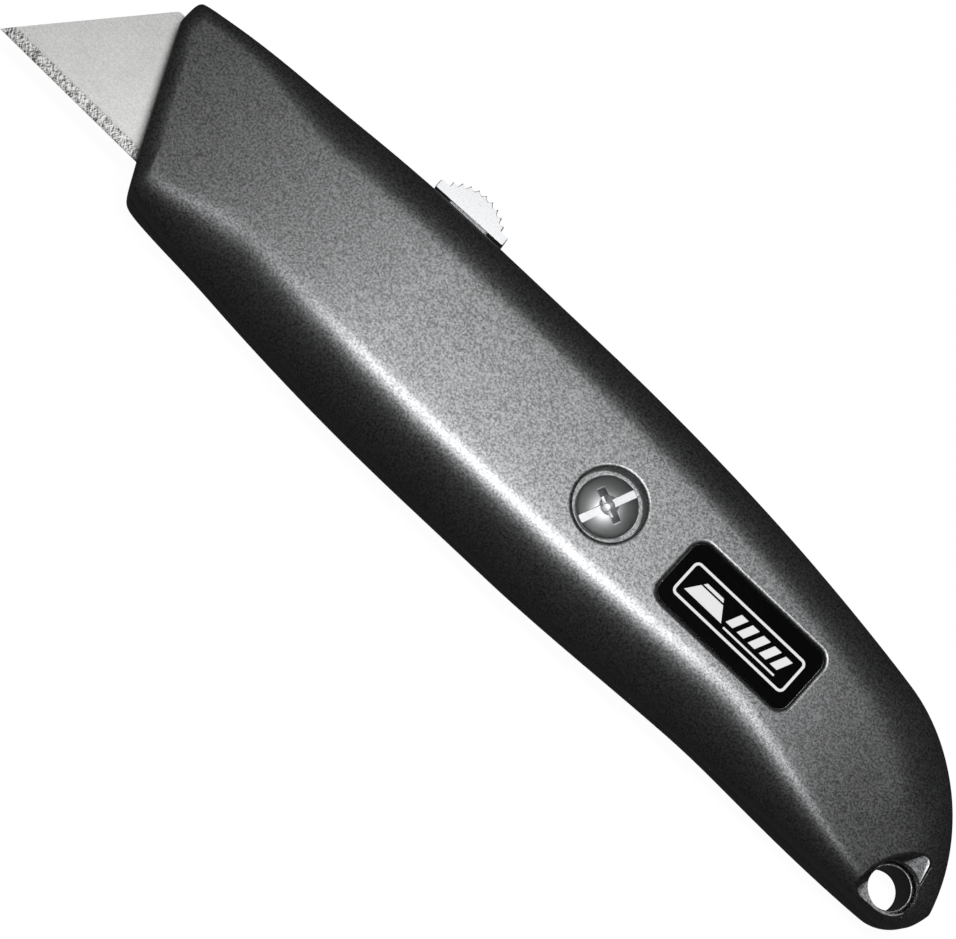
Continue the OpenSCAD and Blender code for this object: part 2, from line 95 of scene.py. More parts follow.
class KnifeCasingSizes(bpy.types.PropertyGroup):
    """Sizes of the two casing halves."""

    belly_round: length("Belly rounding", "Width of the rounding along the belly", 9)
    belly_side: length("Belly side", "Height of the upright side below the belly's rounding", 1.5)
    spine_round: length("Spine rounding", "Height of the rounding along the spine", 3.8)
    spine_width: length("Spine rounding width", "Width of the rounding along the spine", 6.5)
    nose_round: length("Nose rounding", "Height of the rounded edge at the nose", 1.2)
    nose_width: length("Nose rounding width", "Width of the rounded edge at the nose", 2.4)
    tail_round: length("Tail rounding", "Height of the rounded edge at the tail", 2.6)
    tail_width: length("Tail rounding width", "Width of the rounded edge at the tail", 8.5)
    nose_half: length("Nose half thickness", "Half thickness of the casing at the nose", 6.0)
    tail_half: length("Tail half thickness", "Half thickness of the casing at the tail", 5.2)
    wall: length("Wall", "Wall around the hollow behind the screw", 1.8)
    bead: length("Parting groove", "Rounding of each half's edge where the two halves meet", 0.22)
    rim_width: length("Rim width", "Width of the rounded rims of the recesses", 0.6)
    rim_height: length("Rim height", "Height of the rounded rims of the recesses", 0.28)
    pocket: length("Lanyard pocket", "Depth of the pocket round the lanyard hole", 1.2)
    tube_drop: length("Tube drop", "Depth of the lanyard tube's end below the pocket's floor", 1.4)


class KnifeBladeSizes(bpy.types.PropertyGroup):
    """Sizes of the blade in use and of the spare blades."""

    edge_length: length("Length", "Length of the blade along its cutting edge", 61.5)
    width: length("Width", "Width of the blade", 19)
    end_angle: angle("End angle", "Angle between the blade's ends and its cutting edge", 52)
    tilt: angle("Tilt", "Angle between the cutting edge and the slide's travel", 1.24)
    bevel: length("Bevel", "Width of the ground bevel along the cutting edge", 1.6)
    notch: length("Notch", "Radius of the notches in the blade's back", 1.7)
    notch_pitch: length("Notch pitch", "Distance between the two notches", 13)
    corner: length("Back corner", "Rounding of the two corners of the blade's back", 0.9)


class KnifeButtonSizes(bpy.types.PropertyGroup):
    """Sizes of the thumb button."""

    foot: length("Foot", "Thickness of the foot plate", 1.3)
    plate: length("Plate length", "Length of the foot plate", 12)
    dome: length("Dome radius", "Radius through the tips of the teeth", 7)
    valley: length("Tooth depth", "Depth of the grooves between the teeth", 0.5)
    teeth: IntProperty(name="Teeth", description="Number of teeth across the dome", default=9, min=3)
    reach: angle("Reach", "Angle from the dome's top to its outermost tooth", 40.5)
    tilt: angle("Tilt", "Lean of the foot plate towards the nose", 1.4)


class KnifeScrewSizes(bpy.types.PropertyGroup):
    """Sizes of the screw that holds the two halves together."""

    head: length("Head radius", "Radius of the head", 4.4)
    slot: length("Slot width", "Width of the slot across the head", 1.25)
    slot_angle: angle("Slot angle", "Angle of the slot from the knife's length", 68)
    recess: length("Recess depth", "Depth of the slot below the head's top", 1.1)
    cross: length("Cross length", "Length of the recess that crosses the slot", 5.5)
    thread: length("Thread radius", "Radius over the thread", 2)
    pitch: length("Thread pitch", "Distance between two turns of the thread", 0.7)


class KnifeLabelSizes(bpy.types.PropertyGroup):
    """Sizes of the label and its recess."""

    recess_length: length("Recess length", "Length of the recess", 23.4)
    recess_height: length("Recess height", "Height of the recess", 10.2)
    recess_depth: length("Recess depth", "Depth of the recess", 0.8)
    corner: length("Corner", "Radius of the recess's corners", 1.9)
    plate: length("Plate thickness", "Thickness of the label plate", 0.35)
    play: length("Play", "Gap between the plate and the recess's wall", 0.1)


class KnifeFinish(bpy.types.PropertyGroup):
    """Colours of the finishes."""

    paint_dark: colour("Dark grain", "Darkest grain of the casing's metallic paint", (0.06, 0.061, 0.063))
    paint_light: colour("Light grain", "Lightest grain of the casing's metallic paint", (0.37, 0.375, 0.38))
    steel: colour("Blade steel", "Faces of the blades", (0.69, 0.69, 0.68))
    carrier: colour("Carrier", "Pressed steel of the blade carrier", (0.42, 0.42, 0.41))
    plating: colour("Plating", "Bright plating of the button, screw and spring", (0.86, 0.87, 0.88))
    label: colour("Label", "Gloss black of the label", (0.003, 0.003, 0.0035))
    print: colour("Print", "White print on the label", (0.88, 0.88, 0.88))


class KnifeStage(bpy.types.PropertyGroup):
    """Camera, light and floor."""

    target: FloatVectorProperty(name="Target", description="Point that the camera looks at, from the screw",
                                default=(-15.79 * MM, -6.49 * MM, 0), subtype="XYZ", unit="LENGTH", size=3)
    distance: length("Distance", "Distance from the camera to the point that it looks at", 495)
    tilt: angle("Tilt", "Lean of the camera towards the belly", 13.6)
    roll: angle("Roll", "Turn of the camera, so that the knife's length slants down to the right", 43.2)
    lens: FloatProperty(name="Lens", description="Focal length of the camera in millimetres", default=139.8,
                        subtype="DISTANCE_CAMERA")
    key: amount("Key light", "Power of the long softbox over the knife, in watts", 1.4)
    nose: amount("Nose light", "Power of the small light over the nose, in watts", 0.1)
    fill: amount("Fill light", "Strength of the light from all round", 0.035)
    floor: colour("Floor", "Colour of the floor under the lamps", (0.08, 0.08, 0.08))


def settings(name):
    """The property group of that name, as it stands in the scene."""
    return getattr(bpy.context.scene, "knife_" + name)


# ---------------------------------------------------------------- Shader expressions


class Wire:
    """A shader socket that stands in a Python expression; each operator adds one Math node."""

    def __init__(self, recipe, socket):
        self.recipe = recipe
        self.socket = socket

    def __getitem__(self, name):
        return Wire(self.recipe, self.socket.node.outputs[name])

    def __add__(self, other):
        return self.recipe.math("ADD", self, other)

    __radd__ = __add__

    def __sub__(self, other):
        return self.recipe.math("SUBTRACT", self, other)

    def __rsub__(self, other):
        return self.recipe.math("SUBTRACT", other, self)

    def __mul__(self, other):
        return self.recipe.math("MULTIPLY", self, other)

    __rmul__ = __mul__

    def __truediv__(self, other):
        return self.recipe.math("DIVIDE", self, other)

    def __rtruediv__(self, other):
        return self.recipe.math("DIVIDE", other, self)

    def __pow__(self, other):
        return self.recipe.math("POWER", self, other)

    def __rpow__(self, other):
        return self.recipe.math("POWER", other, self)

    def __neg__(self):
        return self.recipe.math("SUBTRACT", 0.0, self)

    def __abs__(self):
        return self.recipe.math("ABSOLUTE", self)


class Recipe:
    """One material while its nodes are being made."""

    def __init__(self, name):
        self.material = bpy.data.materials.new(name)
        self.material.use_nodes = True
        self.tree = self.material.node_tree
        self.tree.nodes.clear()

    def node(self, kind, choices=None, sockets=None, output=0):
        """Adds a node of that kind: its choices first, then values or wires for its sockets."""
        made = self.tree.nodes.new(kind)
        for name, value in (choices or {}).items():
            setattr(made, name, value)
        for key, value in (sockets or {}).items():
            if isinstance(value, Wire):
                self.tree.links.new(value.socket, made.inputs[key])
            else:
                made.inputs[key].default_value = value
        return Wire(self, made.outputs[output]) if made.outputs else None

    def math(self, operation, *values):
        return self.node("ShaderNodeMath", {"operation": operation}, dict(enumerate(values)))

    def least(self, a, b):
        return self.math("MINIMUM", a, b)

    def most(self, a, b):
        return self.math("MAXIMUM", a, b)

    def ramp(self, value, low, high):
        """0 where the value is at low, 1 where it is at high, smooth between."""
        return self.node("ShaderNodeMapRange", {"interpolation_type": "SMOOTHSTEP"},
                         {"Value": value, "From Min": low, "From Max": high})

    def mix(self, factor, a, b):
        """A colour between a and b."""
        factor_in, a_in, b_in = 0, 6, 7
        return self.node("ShaderNodeMix", {"data_type": "RGBA"},
                         {factor_in: factor, a_in: opaque(a), b_in: opaque(b)}, output=2)

    def place(self):
        """Where the shaded point is, in metres, in the piece's own coordinates."""
        return self.node("ShaderNodeTexCoord", output="Object")

    def split(self, vector):
        return self.node("ShaderNodeSeparateXYZ", sockets={"Vector": vector})

    def stretched(self, vector, scale, turn=0.0):
        """The coordinates turned about Z and scaled along each axis."""
        turned_by = self.node("ShaderNodeMapping", {"vector_type": "POINT"},
                              {"Vector": vector, "Rotation": (0, 0, turn)})
        return self.node("ShaderNodeVectorMath", {"operation": "MULTIPLY"}, {0: turned_by, 1: scale})

    def noise(self, vector, grain, detail=2.0, rough=0.5):
        """Soft noise from 0 to 1 whose blobs are about grain metres across."""
        return self.node("ShaderNodeTexNoise",
                         sockets={"Vector": vector, "Scale": 1 / grain, "Detail": detail, "Roughness": rough})

    def bump(self, height, depth, strength):
        """A normal for a height from 0 to 1 that stands for depth metres."""
        sockets = {"Height": height, "Distance": depth, "Strength": strength}
        return self.node("ShaderNodeBump", sockets=sockets)

    def finish(self, **sockets):
        """The shader itself. A socket's name is written with _ for its space."""
        named = {key.replace("_", " "): value for key, value in sockets.items()}
        for key, value in named.items():
            if key.endswith("Color") and not isinstance(value, Wire):
                named[key] = opaque(value)
        shader = self.node("ShaderNodeBsdfPrincipled", sockets=named)
        self.node("ShaderNodeOutputMaterial", sockets={"Surface": shader})
        return self.material


def tint(value, share):
    """A colour made darker or lighter by a share of itself."""
    return [min(1.0, share * part) for part in value]


def opaque(value):
    """A colour of three numbers with its alpha; a wire stays as it is."""
    return value if isinstance(value, Wire) else (*value, 1.0)


# ---------------------------------------------------------------- Finishes


def casing_paint():
    """Dark grey metallic paint with an even grain and a fine textured skin."""
    looks = settings("finish")
    r = Recipe("casing_paint")
    place = r.place()
    grain = r.noise(place, 0.30 * MM, detail=2.0, rough=0.6)
    grit = r.noise(place, 0.14 * MM, detail=2.0, rough=0.6)
    cloud = r.noise(place, 6 * MM, detail=3.0)
    tone = r.ramp(grain, 0.28, 0.72) * 0.66 + r.ramp(grit, 0.25, 0.75) * 0.34 + (cloud - 0.5) * 0.16
    paint = r.mix(tone, looks.paint_dark, looks.paint_light)
    skin = r.bump(grain * 0.6 + grit * 0.4, 0.012 * MM, 0.5)
    return r.finish(Base_Color=paint, Metallic=0.9,
                    Roughness=0.345 + (grain - 0.5) * 0.14 + (cloud - 0.5) * 0.05, Normal=skin)


def ground_steel():
    """Satin rolled steel with fine specks, and a cross-ground bevel along the cutting edge at y = 0."""
    looks = settings("finish")
    sizes = settings("blade")
    r = Recipe("ground_steel")
    place = r.place()
    height = r.split(place)["Y"]
    specks = r.noise(place, 0.2 * MM, detail=3.0, rough=0.7)
    rolled = r.noise(r.stretched(place, (0.12, 1.0, 1.0)), 0.35 * MM, detail=3.0, rough=0.6)
    stain = r.noise(place, 6 * MM, detail=4.0)
    hatch = 0.5 * (r.noise(r.stretched(place, (1.0, 0.18, 1.0), turn=0.5), 0.16 * MM, detail=2.0)
                   + r.noise(r.stretched(place, (1.0, 0.18, 1.0), turn=-0.6), 0.2 * MM, detail=2.0))
    ragged = r.noise(place, 0.5 * MM, detail=3.0) * (0.5 * MM)
    ground = 1 - r.ramp(height + ragged, sizes.bevel + 0.1 * MM, sizes.bevel + 0.4 * MM)
    face = r.mix(r.ramp(specks, 0.3, 0.7) * 0.5 + rolled * 0.25 + stain * 0.25,
                 tint(looks.steel, 0.62), tint(looks.steel, 1.25))
    scored = r.mix(r.ramp(hatch, 0.38, 0.62), tint(looks.steel, 0.10), tint(looks.steel, 1.4))
    return r.finish(Base_Color=r.mix(ground, face, scored), Metallic=0.9,
                    Roughness=0.44 + (specks - 0.5) * 0.16 + ground * (hatch - 0.3) * 0.3,
                    Normal=r.bump(specks * 0.3 + rolled * 0.3 + ground * hatch * 1.5, 0.02 * MM, 0.5))


def pressed_steel():
    """Pressed steel of the carrier: rolled grain, dull oil-dark patches and rub marks along its travel."""
    looks = settings("finish")
    r = Recipe("pressed_steel")
    place = r.place()
    grain = r.noise(place, 0.25 * MM, detail=3.0, rough=0.65)
    rub = r.noise(r.stretched(place, (0.05, 1.0, 1.0)), 0.5 * MM, detail=3.0, rough=0.6)
    oil = r.noise(place, 7 * MM, detail=4.0)
    tone = grain * 0.35 + rub * 0.45 + oil * 0.2
    metal = r.mix(tone, tint(looks.carrier, 0.5), tint(looks.carrier, 1.3))
    return r.finish(Base_Color=metal, Metallic=0.9, Roughness=0.42 + (rub - 0.5) * 0.25 + (oil - 0.5) * 0.1,
                    Normal=r.bump(grain * 0.5 + rub * 0.5, 0.015 * MM, 0.5))


def bright_plating(name, shine, rough):
    """Bright plating over tumbled steel, slightly clouded, with fine handling scratches."""
    looks = settings("finish")
    r = Recipe(name)
    place = r.place()
    orange = r.noise(place, 0.5 * MM, detail=3.0, rough=0.6)
    cloud = r.noise(place, 2.5 * MM, detail=4.0)
    fine = r.noise(r.stretched(place, (0.1, 1.4, 1.0), turn=0.7), 0.12 * MM, detail=2.0)
    bright = tint(looks.plating, shine)
    metal = r.mix(orange * 0.4 + cloud * 0.6, tint(bright, 0.82), bright)
    return r.finish(Base_Color=metal, Metallic=1.0,
                    Roughness=rough + (cloud - 0.5) * 0.12 + (fine - 0.5) * 0.12,
                    Normal=r.bump(orange * 0.6 + fine * 0.4, 0.01 * MM, 0.35))


def button_plating():
    """Satin plating of the button's flat sides, with painted shade that darkens the tips of its teeth."""
    looks = settings("finish")
    sizes = settings("button")
    r = Recipe("button_plating")
    place = r.place()
    low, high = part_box("thumb_button")
    x = r.split(place)["X"] - (low.x + high.x) / 2
    y = r.split(place)["Y"] - (high.y - sizes.dome)
    out = (x * x + y * y) ** 0.5
    specks = r.noise(place, 0.3 * MM, detail=3.0, rough=0.7)
    cloud = r.noise(place, 1.5 * MM, detail=3.0)
    # Painted shade: the colour goes almost black over the tips of the teeth.
    painted_tip_shade = r.ramp(out, sizes.dome - 0.75 * sizes.valley, sizes.dome - 0.2 * sizes.valley)
    plate_end = (high.x - low.x) / 2 - 1.5 * MM
    painted_tip_shade = painted_tip_shade * (1 - r.ramp(abs(x), plate_end - 0.4 * MM, plate_end))
    face = r.mix(r.ramp(specks, 0.3, 0.45), tint(looks.plating, 0.75), looks.plating)
    return r.finish(Base_Color=r.mix(painted_tip_shade * 0.85, face, tint(looks.plating, 0.12)), Metallic=0.8,
                    Roughness=0.38 + (cloud - 0.5) * 0.12,
                    Normal=r.bump(specks * 0.6 + cloud * 0.4, 0.008 * MM, 0.3))


def printed_label():
    """Gloss black label with a thin white frame and a plain pictogram of a blade and slanted bars; the white
    print also glows a little, as painted light.
    """
    looks = settings("finish")
    r = Recipe("printed_label")
    place = r.place()
    x, y = r.split(place)["X"], r.split(place)["Y"]
    soft = 0.03 * MM
    middle = -0.2 * MM

    def panel(cx, cy, half_l, half_h, corner):
        """How far a point lies outside a rectangle with round corners. It is negative inside."""
        dx = r.most(abs(x - cx) - (half_l - corner), 0.0)
        dy = r.most(abs(y - cy) - (half_h - corner), 0.0)
        return (dx * dx + dy * dy) ** 0.5 - corner

    def inside(distance):
        return 1 - r.ramp(distance, -soft, soft)

    def band(cy, half_h):
        return inside(abs(y - cy) - half_h)

    frame_line = inside(abs(panel(-0.05 * MM, middle, 9.8 * MM, 2.6 * MM, 0.7 * MM)) - 0.19 * MM)
    taper = abs(x + 5.5 * MM) + (y - middle) * 0.7
    icon = band(middle, 1.35 * MM) * inside(taper - 2.4 * MM) * (1 - band(middle + 0.75 * MM, 0.13 * MM))
    across = x - (y - middle) * 0.45
    bars = 0.0
    first_bar, bar_pitch, bar_half = -0.9, 2.0, 0.62 * MM
    for number in range(5):
        bars = r.most(bars, inside(abs(across - (first_bar + bar_pitch * number) * MM) - bar_half))
    bars = bars * band(middle + 0.35 * MM, 1.1 * MM)
    underline = band(middle - 1.55 * MM, 0.14 * MM) * inside(abs(x - 3.0 * MM) - 4.6 * MM)
    ink = r.least(frame_line + icon + bars + underline, 1.0)
    dust = r.noise(place, 0.4 * MM, detail=3.0)
    rub = r.noise(r.stretched(place, (0.2, 1.6, 1.0), turn=0.4), 0.3 * MM, detail=3.0)
    return r.finish(Base_Color=r.mix(ink, looks.label, looks.print),
                    Roughness=0.14 + (rub - 0.5) * 0.1 + ink * 0.3,
                    # Painted light: the print glows, so that it reads brighter than the lamps make it.
                    Emission_Color=r.mix(ink, (0, 0, 0), looks.print), Emission_Strength=0.45,
                    Specular_IOR_Level=0.15,
                    Normal=r.bump(dust * 0.3 + ink * 0.7, 0.004 * MM, 0.3))


def floor_paper():
    """Pale matt studio paper with a faint tooth, lit from below."""
    r = Recipe("studio_paper")
    tooth = r.noise(r.place(), 1.2 * MM, detail=3.0)
    pale = settings("stage").floor
    return r.finish(Base_Color=r.mix(tooth, tint(pale, 0.9), pale), Roughness=0.9,
                    Emission_Color=r.mix(tooth, (0.985, 0.985, 0.985), (1, 1, 1)), Emission_Strength=0.98,
                    Normal=r.bump(tooth, 0.02 * MM, 0.2))


def finish_of(name, make, *values):
    """The finish of that name, made the first time it is asked for."""
    return bpy.data.materials.get(name) or make(*values)


# ---------------------------------------------------------------- Solids


def solid(name, points, faces):
    """A closed mesh object with its faces turned outwards."""
    mesh = bpy.data.meshes.new(name)
    mesh.from_pydata([tuple(p) for p in points], [], faces)
    work = bmesh.new()
    work.from_mesh(mesh)
    bmesh.ops.recalc_face_normals(work, faces=work.faces)
    work.to_mesh(mesh)
    work.free()
    obj = bpy.data.objects.new(name, mesh)
    bpy.context.scene.collection.objects.link(obj)
    return obj


def from_rings(name, rings):
    """A solid through closed rings of points, one after another, with its two ends closed flat."""
    n = len(rings[0])
    last = (len(rings) - 1) * n
    faces = []
    for a in range(0, last, n):
        faces += [(a + j, a + (j + 1) % n, a + n + (j + 1) % n, a + n + j) for j in range(n)]
    faces += [tuple(range(n)), tuple(range(last, last + n))]
    return solid(name, [point for ring in rings for point in ring], faces)


def prism(name, outline, low, high):
    """An outline in X and Y, drawn out from the height low to the height high."""
    return from_rings(name, [[(x, y, z) for x, y in outline] for z in (low, high)])


def block(name, low, high):
    (x0, y0, z0), (x1, y1, z1) = low, high
    return prism(name, [(x0, y0), (x1, y0), (x1, y1), (x0, y1)], z0, z1)


def rectangle(half_l, half_h):
    return [(-half_l, -half_h), (half_l, -half_h), (half_l, half_h), (-half_l, half_h)]


def circle(radius, centre=(0, 0), steps=96):
    turn = [2 * math.pi * i / steps for i in range(steps)]
    return [(centre[0] + radius * math.cos(a), centre[1] + radius * math.sin(a)) for a in turn]


def turned(name, profile, centre=(0, 0), steps=96):
    """A profile of (radius, height) points turned about an upright axis, closed flat at both ends."""
    return from_rings(name, [[(x, y, z) for x, y in circle(r, centre, steps)] for r, z in profile])


def quarter(steps, first=0):
    """Angles of a quarter turn in equal steps, from step number first on."""
    return [math.radians(90 * i / steps) for i in range(first, steps + 1)]


def arc(cx, cy, r, start, end, steps):
    """Points round a corner, angles in degrees."""
    angles = [math.radians(start + (end - start) * i / steps) for i in range(steps + 1)]
    return [(cx + r * math.cos(a), cy + r * math.sin(a)) for a in angles]


def round_hull(centres, radius, steps=10):
    """The outline round equal circles whose centres are given anticlockwise."""
    n = len(centres)
    outline = []
    for i in range(n):
        before, here, after = Vector(centres[i - 1]), Vector(centres[i]), Vector(centres[(i + 1) % n])
        start = math.degrees(math.atan2(here.y - before.y, here.x - before.x)) - 90
        end = math.degrees(math.atan2(after.y - here.y, after.x - here.x)) - 90
        outline += arc(here.x, here.y, radius, start, start + (end - start) % 360, steps)
    return outline


def settle(obj):
    """Applies an object's modifiers."""
    graph = bpy.context.evaluated_depsgraph_get()
    old = obj.data
    obj.data = bpy.data.meshes.new_from_object(obj.evaluated_get(graph))
    obj.modifiers.clear()
    bpy.data.meshes.remove(old)
    return obj


def rounded(obj, width, steps=3, over=30.0):
    """Rounds the edges of a solid that are sharper than over degrees."""
    bevel = obj.modifiers.new("round", "BEVEL")
    bevel.width = width
    bevel.segments = steps
    bevel.limit_method = "ANGLE"
    bevel.angle_limit = math.radians(over)
    bevel.use_clamp_overlap = True
    return settle(obj)


def combine(obj, others, operation):
    """Cuts other solids from one, or joins them to it, and removes them."""
    for other in others:
        work = obj.modifiers.new(operation.lower(), "BOOLEAN")
        work.operation = operation
        work.solver = "MANIFOLD"
        work.object = other
    settle(obj)
    for other in others:
        mesh = other.data
        bpy.data.objects.remove(other)
        bpy.data.meshes.remove(mesh)
    return obj


def carve(obj, *others):
    return combine(obj, others, "DIFFERENCE")


def weld(obj, *others):
    return combine(obj, others, "UNION")


def tidy(obj, gap=0.0005 * MM):
    """Removes the slivers that cutting leaves behind."""
    work = bmesh.new()
    work.from_mesh(obj.data)
    bmesh.ops.remove_doubles(work, verts=work.verts, dist=gap)
    bmesh.ops.dissolve_degenerate(work, edges=work.edges, dist=gap)
    work.to_mesh(obj.data)
    work.free()
    return obj


def shade(obj, limit=32.0):
    """Smooth shading with edges sharper than limit degrees kept crisp."""
    obj.data.shade_smooth()
    obj.data.set_sharp_from_angle(angle=math.radians(limit))
    return obj


def shade_flat(obj, limit=32.0):
    """As shade, with each rounded edge turned to the large faces beside it, so flat faces stay flat."""
    weighted = shade(obj, limit).modifiers.new("weighted", "WEIGHTED_NORMAL")
    weighted.keep_sharp = True
    return settle(obj)


def shade_from(obj, skin, limit=32.0, reach=0.003 * MM):
    """As shade, but a corner that lies on the skin takes the skin's own normal, so cuts leave it smooth."""
    mesh = shade(obj, limit).data
    corners = [n.vector.copy() for n in mesh.corner_normals]
    tree = BVHTree.FromPolygons([v.co for v in skin.vertices], [tuple(p.vertices) for p in skin.polygons])
    normals = [n.vector for n in skin.vertex_normals]
    own = {}
    for vertex in mesh.vertices:
        spot, _, face, distance = tree.find_nearest(vertex.co)
        if distance < reach:
            ids = list(skin.polygons[face].vertices)
            weights = poly_3d_calc([skin.vertices[i].co for i in ids], spot)
            own[vertex.index] = sum((normals[i] * w for i, w in zip(ids, weights)), Vector()).normalized()
    near = math.cos(math.radians(limit))
    for face in mesh.polygons:
        flush = all(i in own and own[i].dot(face.normal) > 0.2 for i in face.vertices)
        sliver = face.area < 0.002 * MM * MM
        for loop, i in zip(face.loop_indices, face.vertices):
            if i in own and (flush or sliver or own[i].dot(corners[loop]) > near):
                corners[loop] = own[i]
    mesh.normals_split_custom_set(corners)
    return obj


def deliver(obj, name, body, nodes, finish, at=None):
    """Gives a piece its place, name and finish, and puts it in the frame for the nodes it stands for.

    A piece with a place of its own, at, keeps its mesh there. The mesh of any other moves to the knife's zero.
    """
    obj.name = obj.data.name = name
    obj.data.materials.clear()
    obj.data.materials.append(finish)
    if at is None:
        obj.data.transform(Matrix.Translation(ZERO))
    else:
        obj.matrix_world = Matrix.Translation(ZERO) @ at
    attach(obj, body)
    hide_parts(*nodes)
    return obj


# ---------------------------------------------------------------- Shape of the casing


def ease(t):
    t = min(1.0, max(0.0, t))
    return t * t * (3 - 2 * t)


def between(a, b, t):
    return a + (b - a) * t


def round_drop(distance, radius):
    """How far a rounded edge has fallen at that distance from its end."""
    if distance >= radius:
        return 0.0
    return radius - math.sqrt(max(0.0, radius ** 2 - (radius - distance) ** 2))


def soft_max(a, b, blend):
    return (a + b + math.hypot(a - b, blend)) / 2


class Shape:
    """The casing's outline, thickness and sections along the knife, measured from its zero."""

    nose_drop = 3.1 * MM          # spine at the nose, below the crest
    nose_drop_power = 1.95
    nose_corner = 0.7 * MM
    nose_front = 3.9 * MM       # height of the nose's upright front
    nose_rake = math.radians(26.3)
    chin = 1.6 * MM             # blend between the nose's face and the belly
    crest = (-38 * MM, -18 * MM)
    tail_drop = 9.5 * MM
    tail_drop_power = 2.15
    tail_bend = 22.2 * MM       # length of the tail's rounded upper corner
    tail_bend_power = 0.625
    tail_corner = 5.5 * MM
    belly_level = (-20 * MM, -5 * MM)
    belly_nose_rise = 5.55 * MM
    belly_tail_rise = 1.4 * MM
    belly_tail_run = 40 * MM
    grip = (-38 * MM, 14 * MM)
    thin_power = (1.6, 2.4)           # how the casing thins from the grip to the nose and to the tail
    nose_edge = (6 * MM, 22 * MM)     # length that keeps the nose's rounding, and length of its growth
    tail_edge = (8 * MM, 34 * MM)
    side_least = 0.8 * MM             # least height of the upright side below the roundings

    def __init__(self):
        self.sizes = settings("casing")
        low, high = extent("upper_casing")
        self.nose, self.tail = low.x, high.x
        self.belly, self.spine = low.y, high.y
        self.half = high.z

    def top(self, x):
        start, end = self.crest
        fall = self.nose_drop * (max(0.0, start - x) / (start - self.nose)) ** self.nose_drop_power
        fall += self.tail_drop * (max(0.0, x - end) / (self.tail - end)) ** self.tail_drop_power
        t = min(1.0, max(0.0, (x - self.tail + self.tail_bend) / self.tail_bend))
        deep = self.spine - self.tail_drop - self.tail_low() - self.tail_corner
        fall += deep * (1 - (1 - t * t) ** self.tail_bend_power)
        return self.spine - fall - round_drop(x - self.nose, self.nose_corner)

    def tail_low(self):
        return self.belly + self.belly_tail_rise

    def nose_line(self, x):
        return self.spine - self.nose_drop - self.nose_front - (x - self.nose) / math.tan(self.nose_rake)

    def low(self, x):
        start, end = self.belly_level
        line = self.belly + self.belly_tail_rise * ease((x - end) / self.belly_tail_run)
        line += self.belly_nose_rise * (max(0.0, start - x) / (start - self.nose)) ** 2
        line += round_drop(self.tail - x, self.tail_corner)
        return soft_max(self.nose_line(x), line, self.chin)

    def thick(self, x):
        start, end = self.grip
        to_nose = (max(0.0, start - x) / (start - self.nose)) ** self.thin_power[0]
        to_tail = (max(0.0, x - end) / (self.tail - end)) ** self.thin_power[1]
        loss = (self.half - self.sizes.nose_half, self.half - self.sizes.tail_half)
        return self.half - loss[0] * to_nose - loss[1] * to_tail

    def along(self, x, nose, grip, tail):
        value = between(nose, grip, ease((x - self.nose - self.nose_edge[0]) / self.nose_edge[1]))
        return between(value, tail, ease((x - self.tail + sum(self.tail_edge)) / self.tail_edge[1]))

    def lean(self, line, x):
        step = 0.05 * MM
        return min(3.0, math.hypot(1, (line(x) - line(x - step)) / step))

    def measures(self, x, inset=0.0):
        """Low and high side, height, and the two roundings of the section at x."""
        s = self.sizes
        height = self.thick(x) - inset
        if not inset:
            height -= round_drop((x - self.nose) * s.nose_round / s.nose_width, s.nose_round)
            height -= round_drop((self.tail - x) * s.tail_round / s.tail_width, s.tail_round)
        y0 = self.low(x) + inset * self.lean(self.low, x)
        y1 = self.top(x) - inset * self.lean(self.top, x)
        room = (y1 - y0) * 0.48
        low_y = min(room, self.along(x, s.nose_width, s.belly_round, s.tail_round) * self.lean(self.low, x)
                    - 0.6 * inset)
        most_z = height - self.side_least
        low_z = min(most_z, self.along(x, s.nose_round, height - s.belly_side, s.tail_round))
        top_y = min(room, self.along(x, s.nose_width, s.spine_width, s.tail_width) * self.lean(self.top, x)
                    - 0.6 * inset)
        top_z = min(most_z, self.along(x, s.nose_round, s.spine_round, s.tail_round))
        return y0, y1, height, (low_y, low_z), (top_y, top_z)

    def surface(self, x, y):
        """Height of the casing's face above the parting plane at a point."""
        y0, y1, height, low, top = self.measures(x)
        for edge, (ry, rz) in ((y - y0, low), (y1 - y, top)):
            if edge < ry:
                u = min(1.0, (ry - edge) / ry)
                return height - rz + rz * math.sqrt(1 - u * u)
        return height

    def ring(self, x, inset=0.0, base=0.0, bead=0.0, steps=(24, 8, 16)):
        """The section at x as points from the belly round to the spine, closed along the height base."""
        y0, y1, height, low, top = self.measures(x, inset)
        bead_y = min(bead, 0.2 * (y1 - y0))
        points = []
        if bead:
            points += [(y0 + bead_y * (1 - math.sin(a)), bead * (1 - math.cos(a))) for a in quarter(4)]
        else:
            points.append((y0, base))
        for i in range(steps[0] + 1):
            a = math.radians(180 - 90 * i / steps[0])
            points.append((y0 + low[0] + low[0] * math.cos(a), height - low[1] + low[1] * math.sin(a)))
        flat = (y0 + low[0], y1 - top[0])
        points += [(between(*flat, i / steps[1]), height) for i in range(1, steps[1])]
        for i in range(steps[2] + 1):
            a = math.radians(90 - 90 * i / steps[2])
            points.append((y1 - top[0] + top[0] * math.cos(a), height - top[1] + top[1] * math.sin(a)))
        if bead:
            points += [(y1 - bead_y * (1 - math.cos(a)), bead * (1 - math.sin(a))) for a in quarter(4)]
        else:
            points.append((y1, base))
        return [(x, y, z) for y, z in points]

    def stations(self):
        """Places of the sections: close where the edges round over and along the nose's slanted face."""
        s = self.sizes
        run = 15 * MM
        tail_run = 16 * MM
        nose = [self.nose + s.nose_width * (1 - math.cos(a)) for a in quarter(10)[:-1]]
        face = [between(self.nose + s.nose_width, self.nose + run, i / 46) for i in range(46)]
        body = [between(self.nose + run, self.tail - tail_run, i / 120) for i in range(120)]
        tail = [self.tail - tail_run * (1 - math.sin(a)) for a in quarter(48)[:-1]]
        return nose + face + body + tail + [self.tail - 0.01 * MM]


# ---------------------------------------------------------------- Casing halves


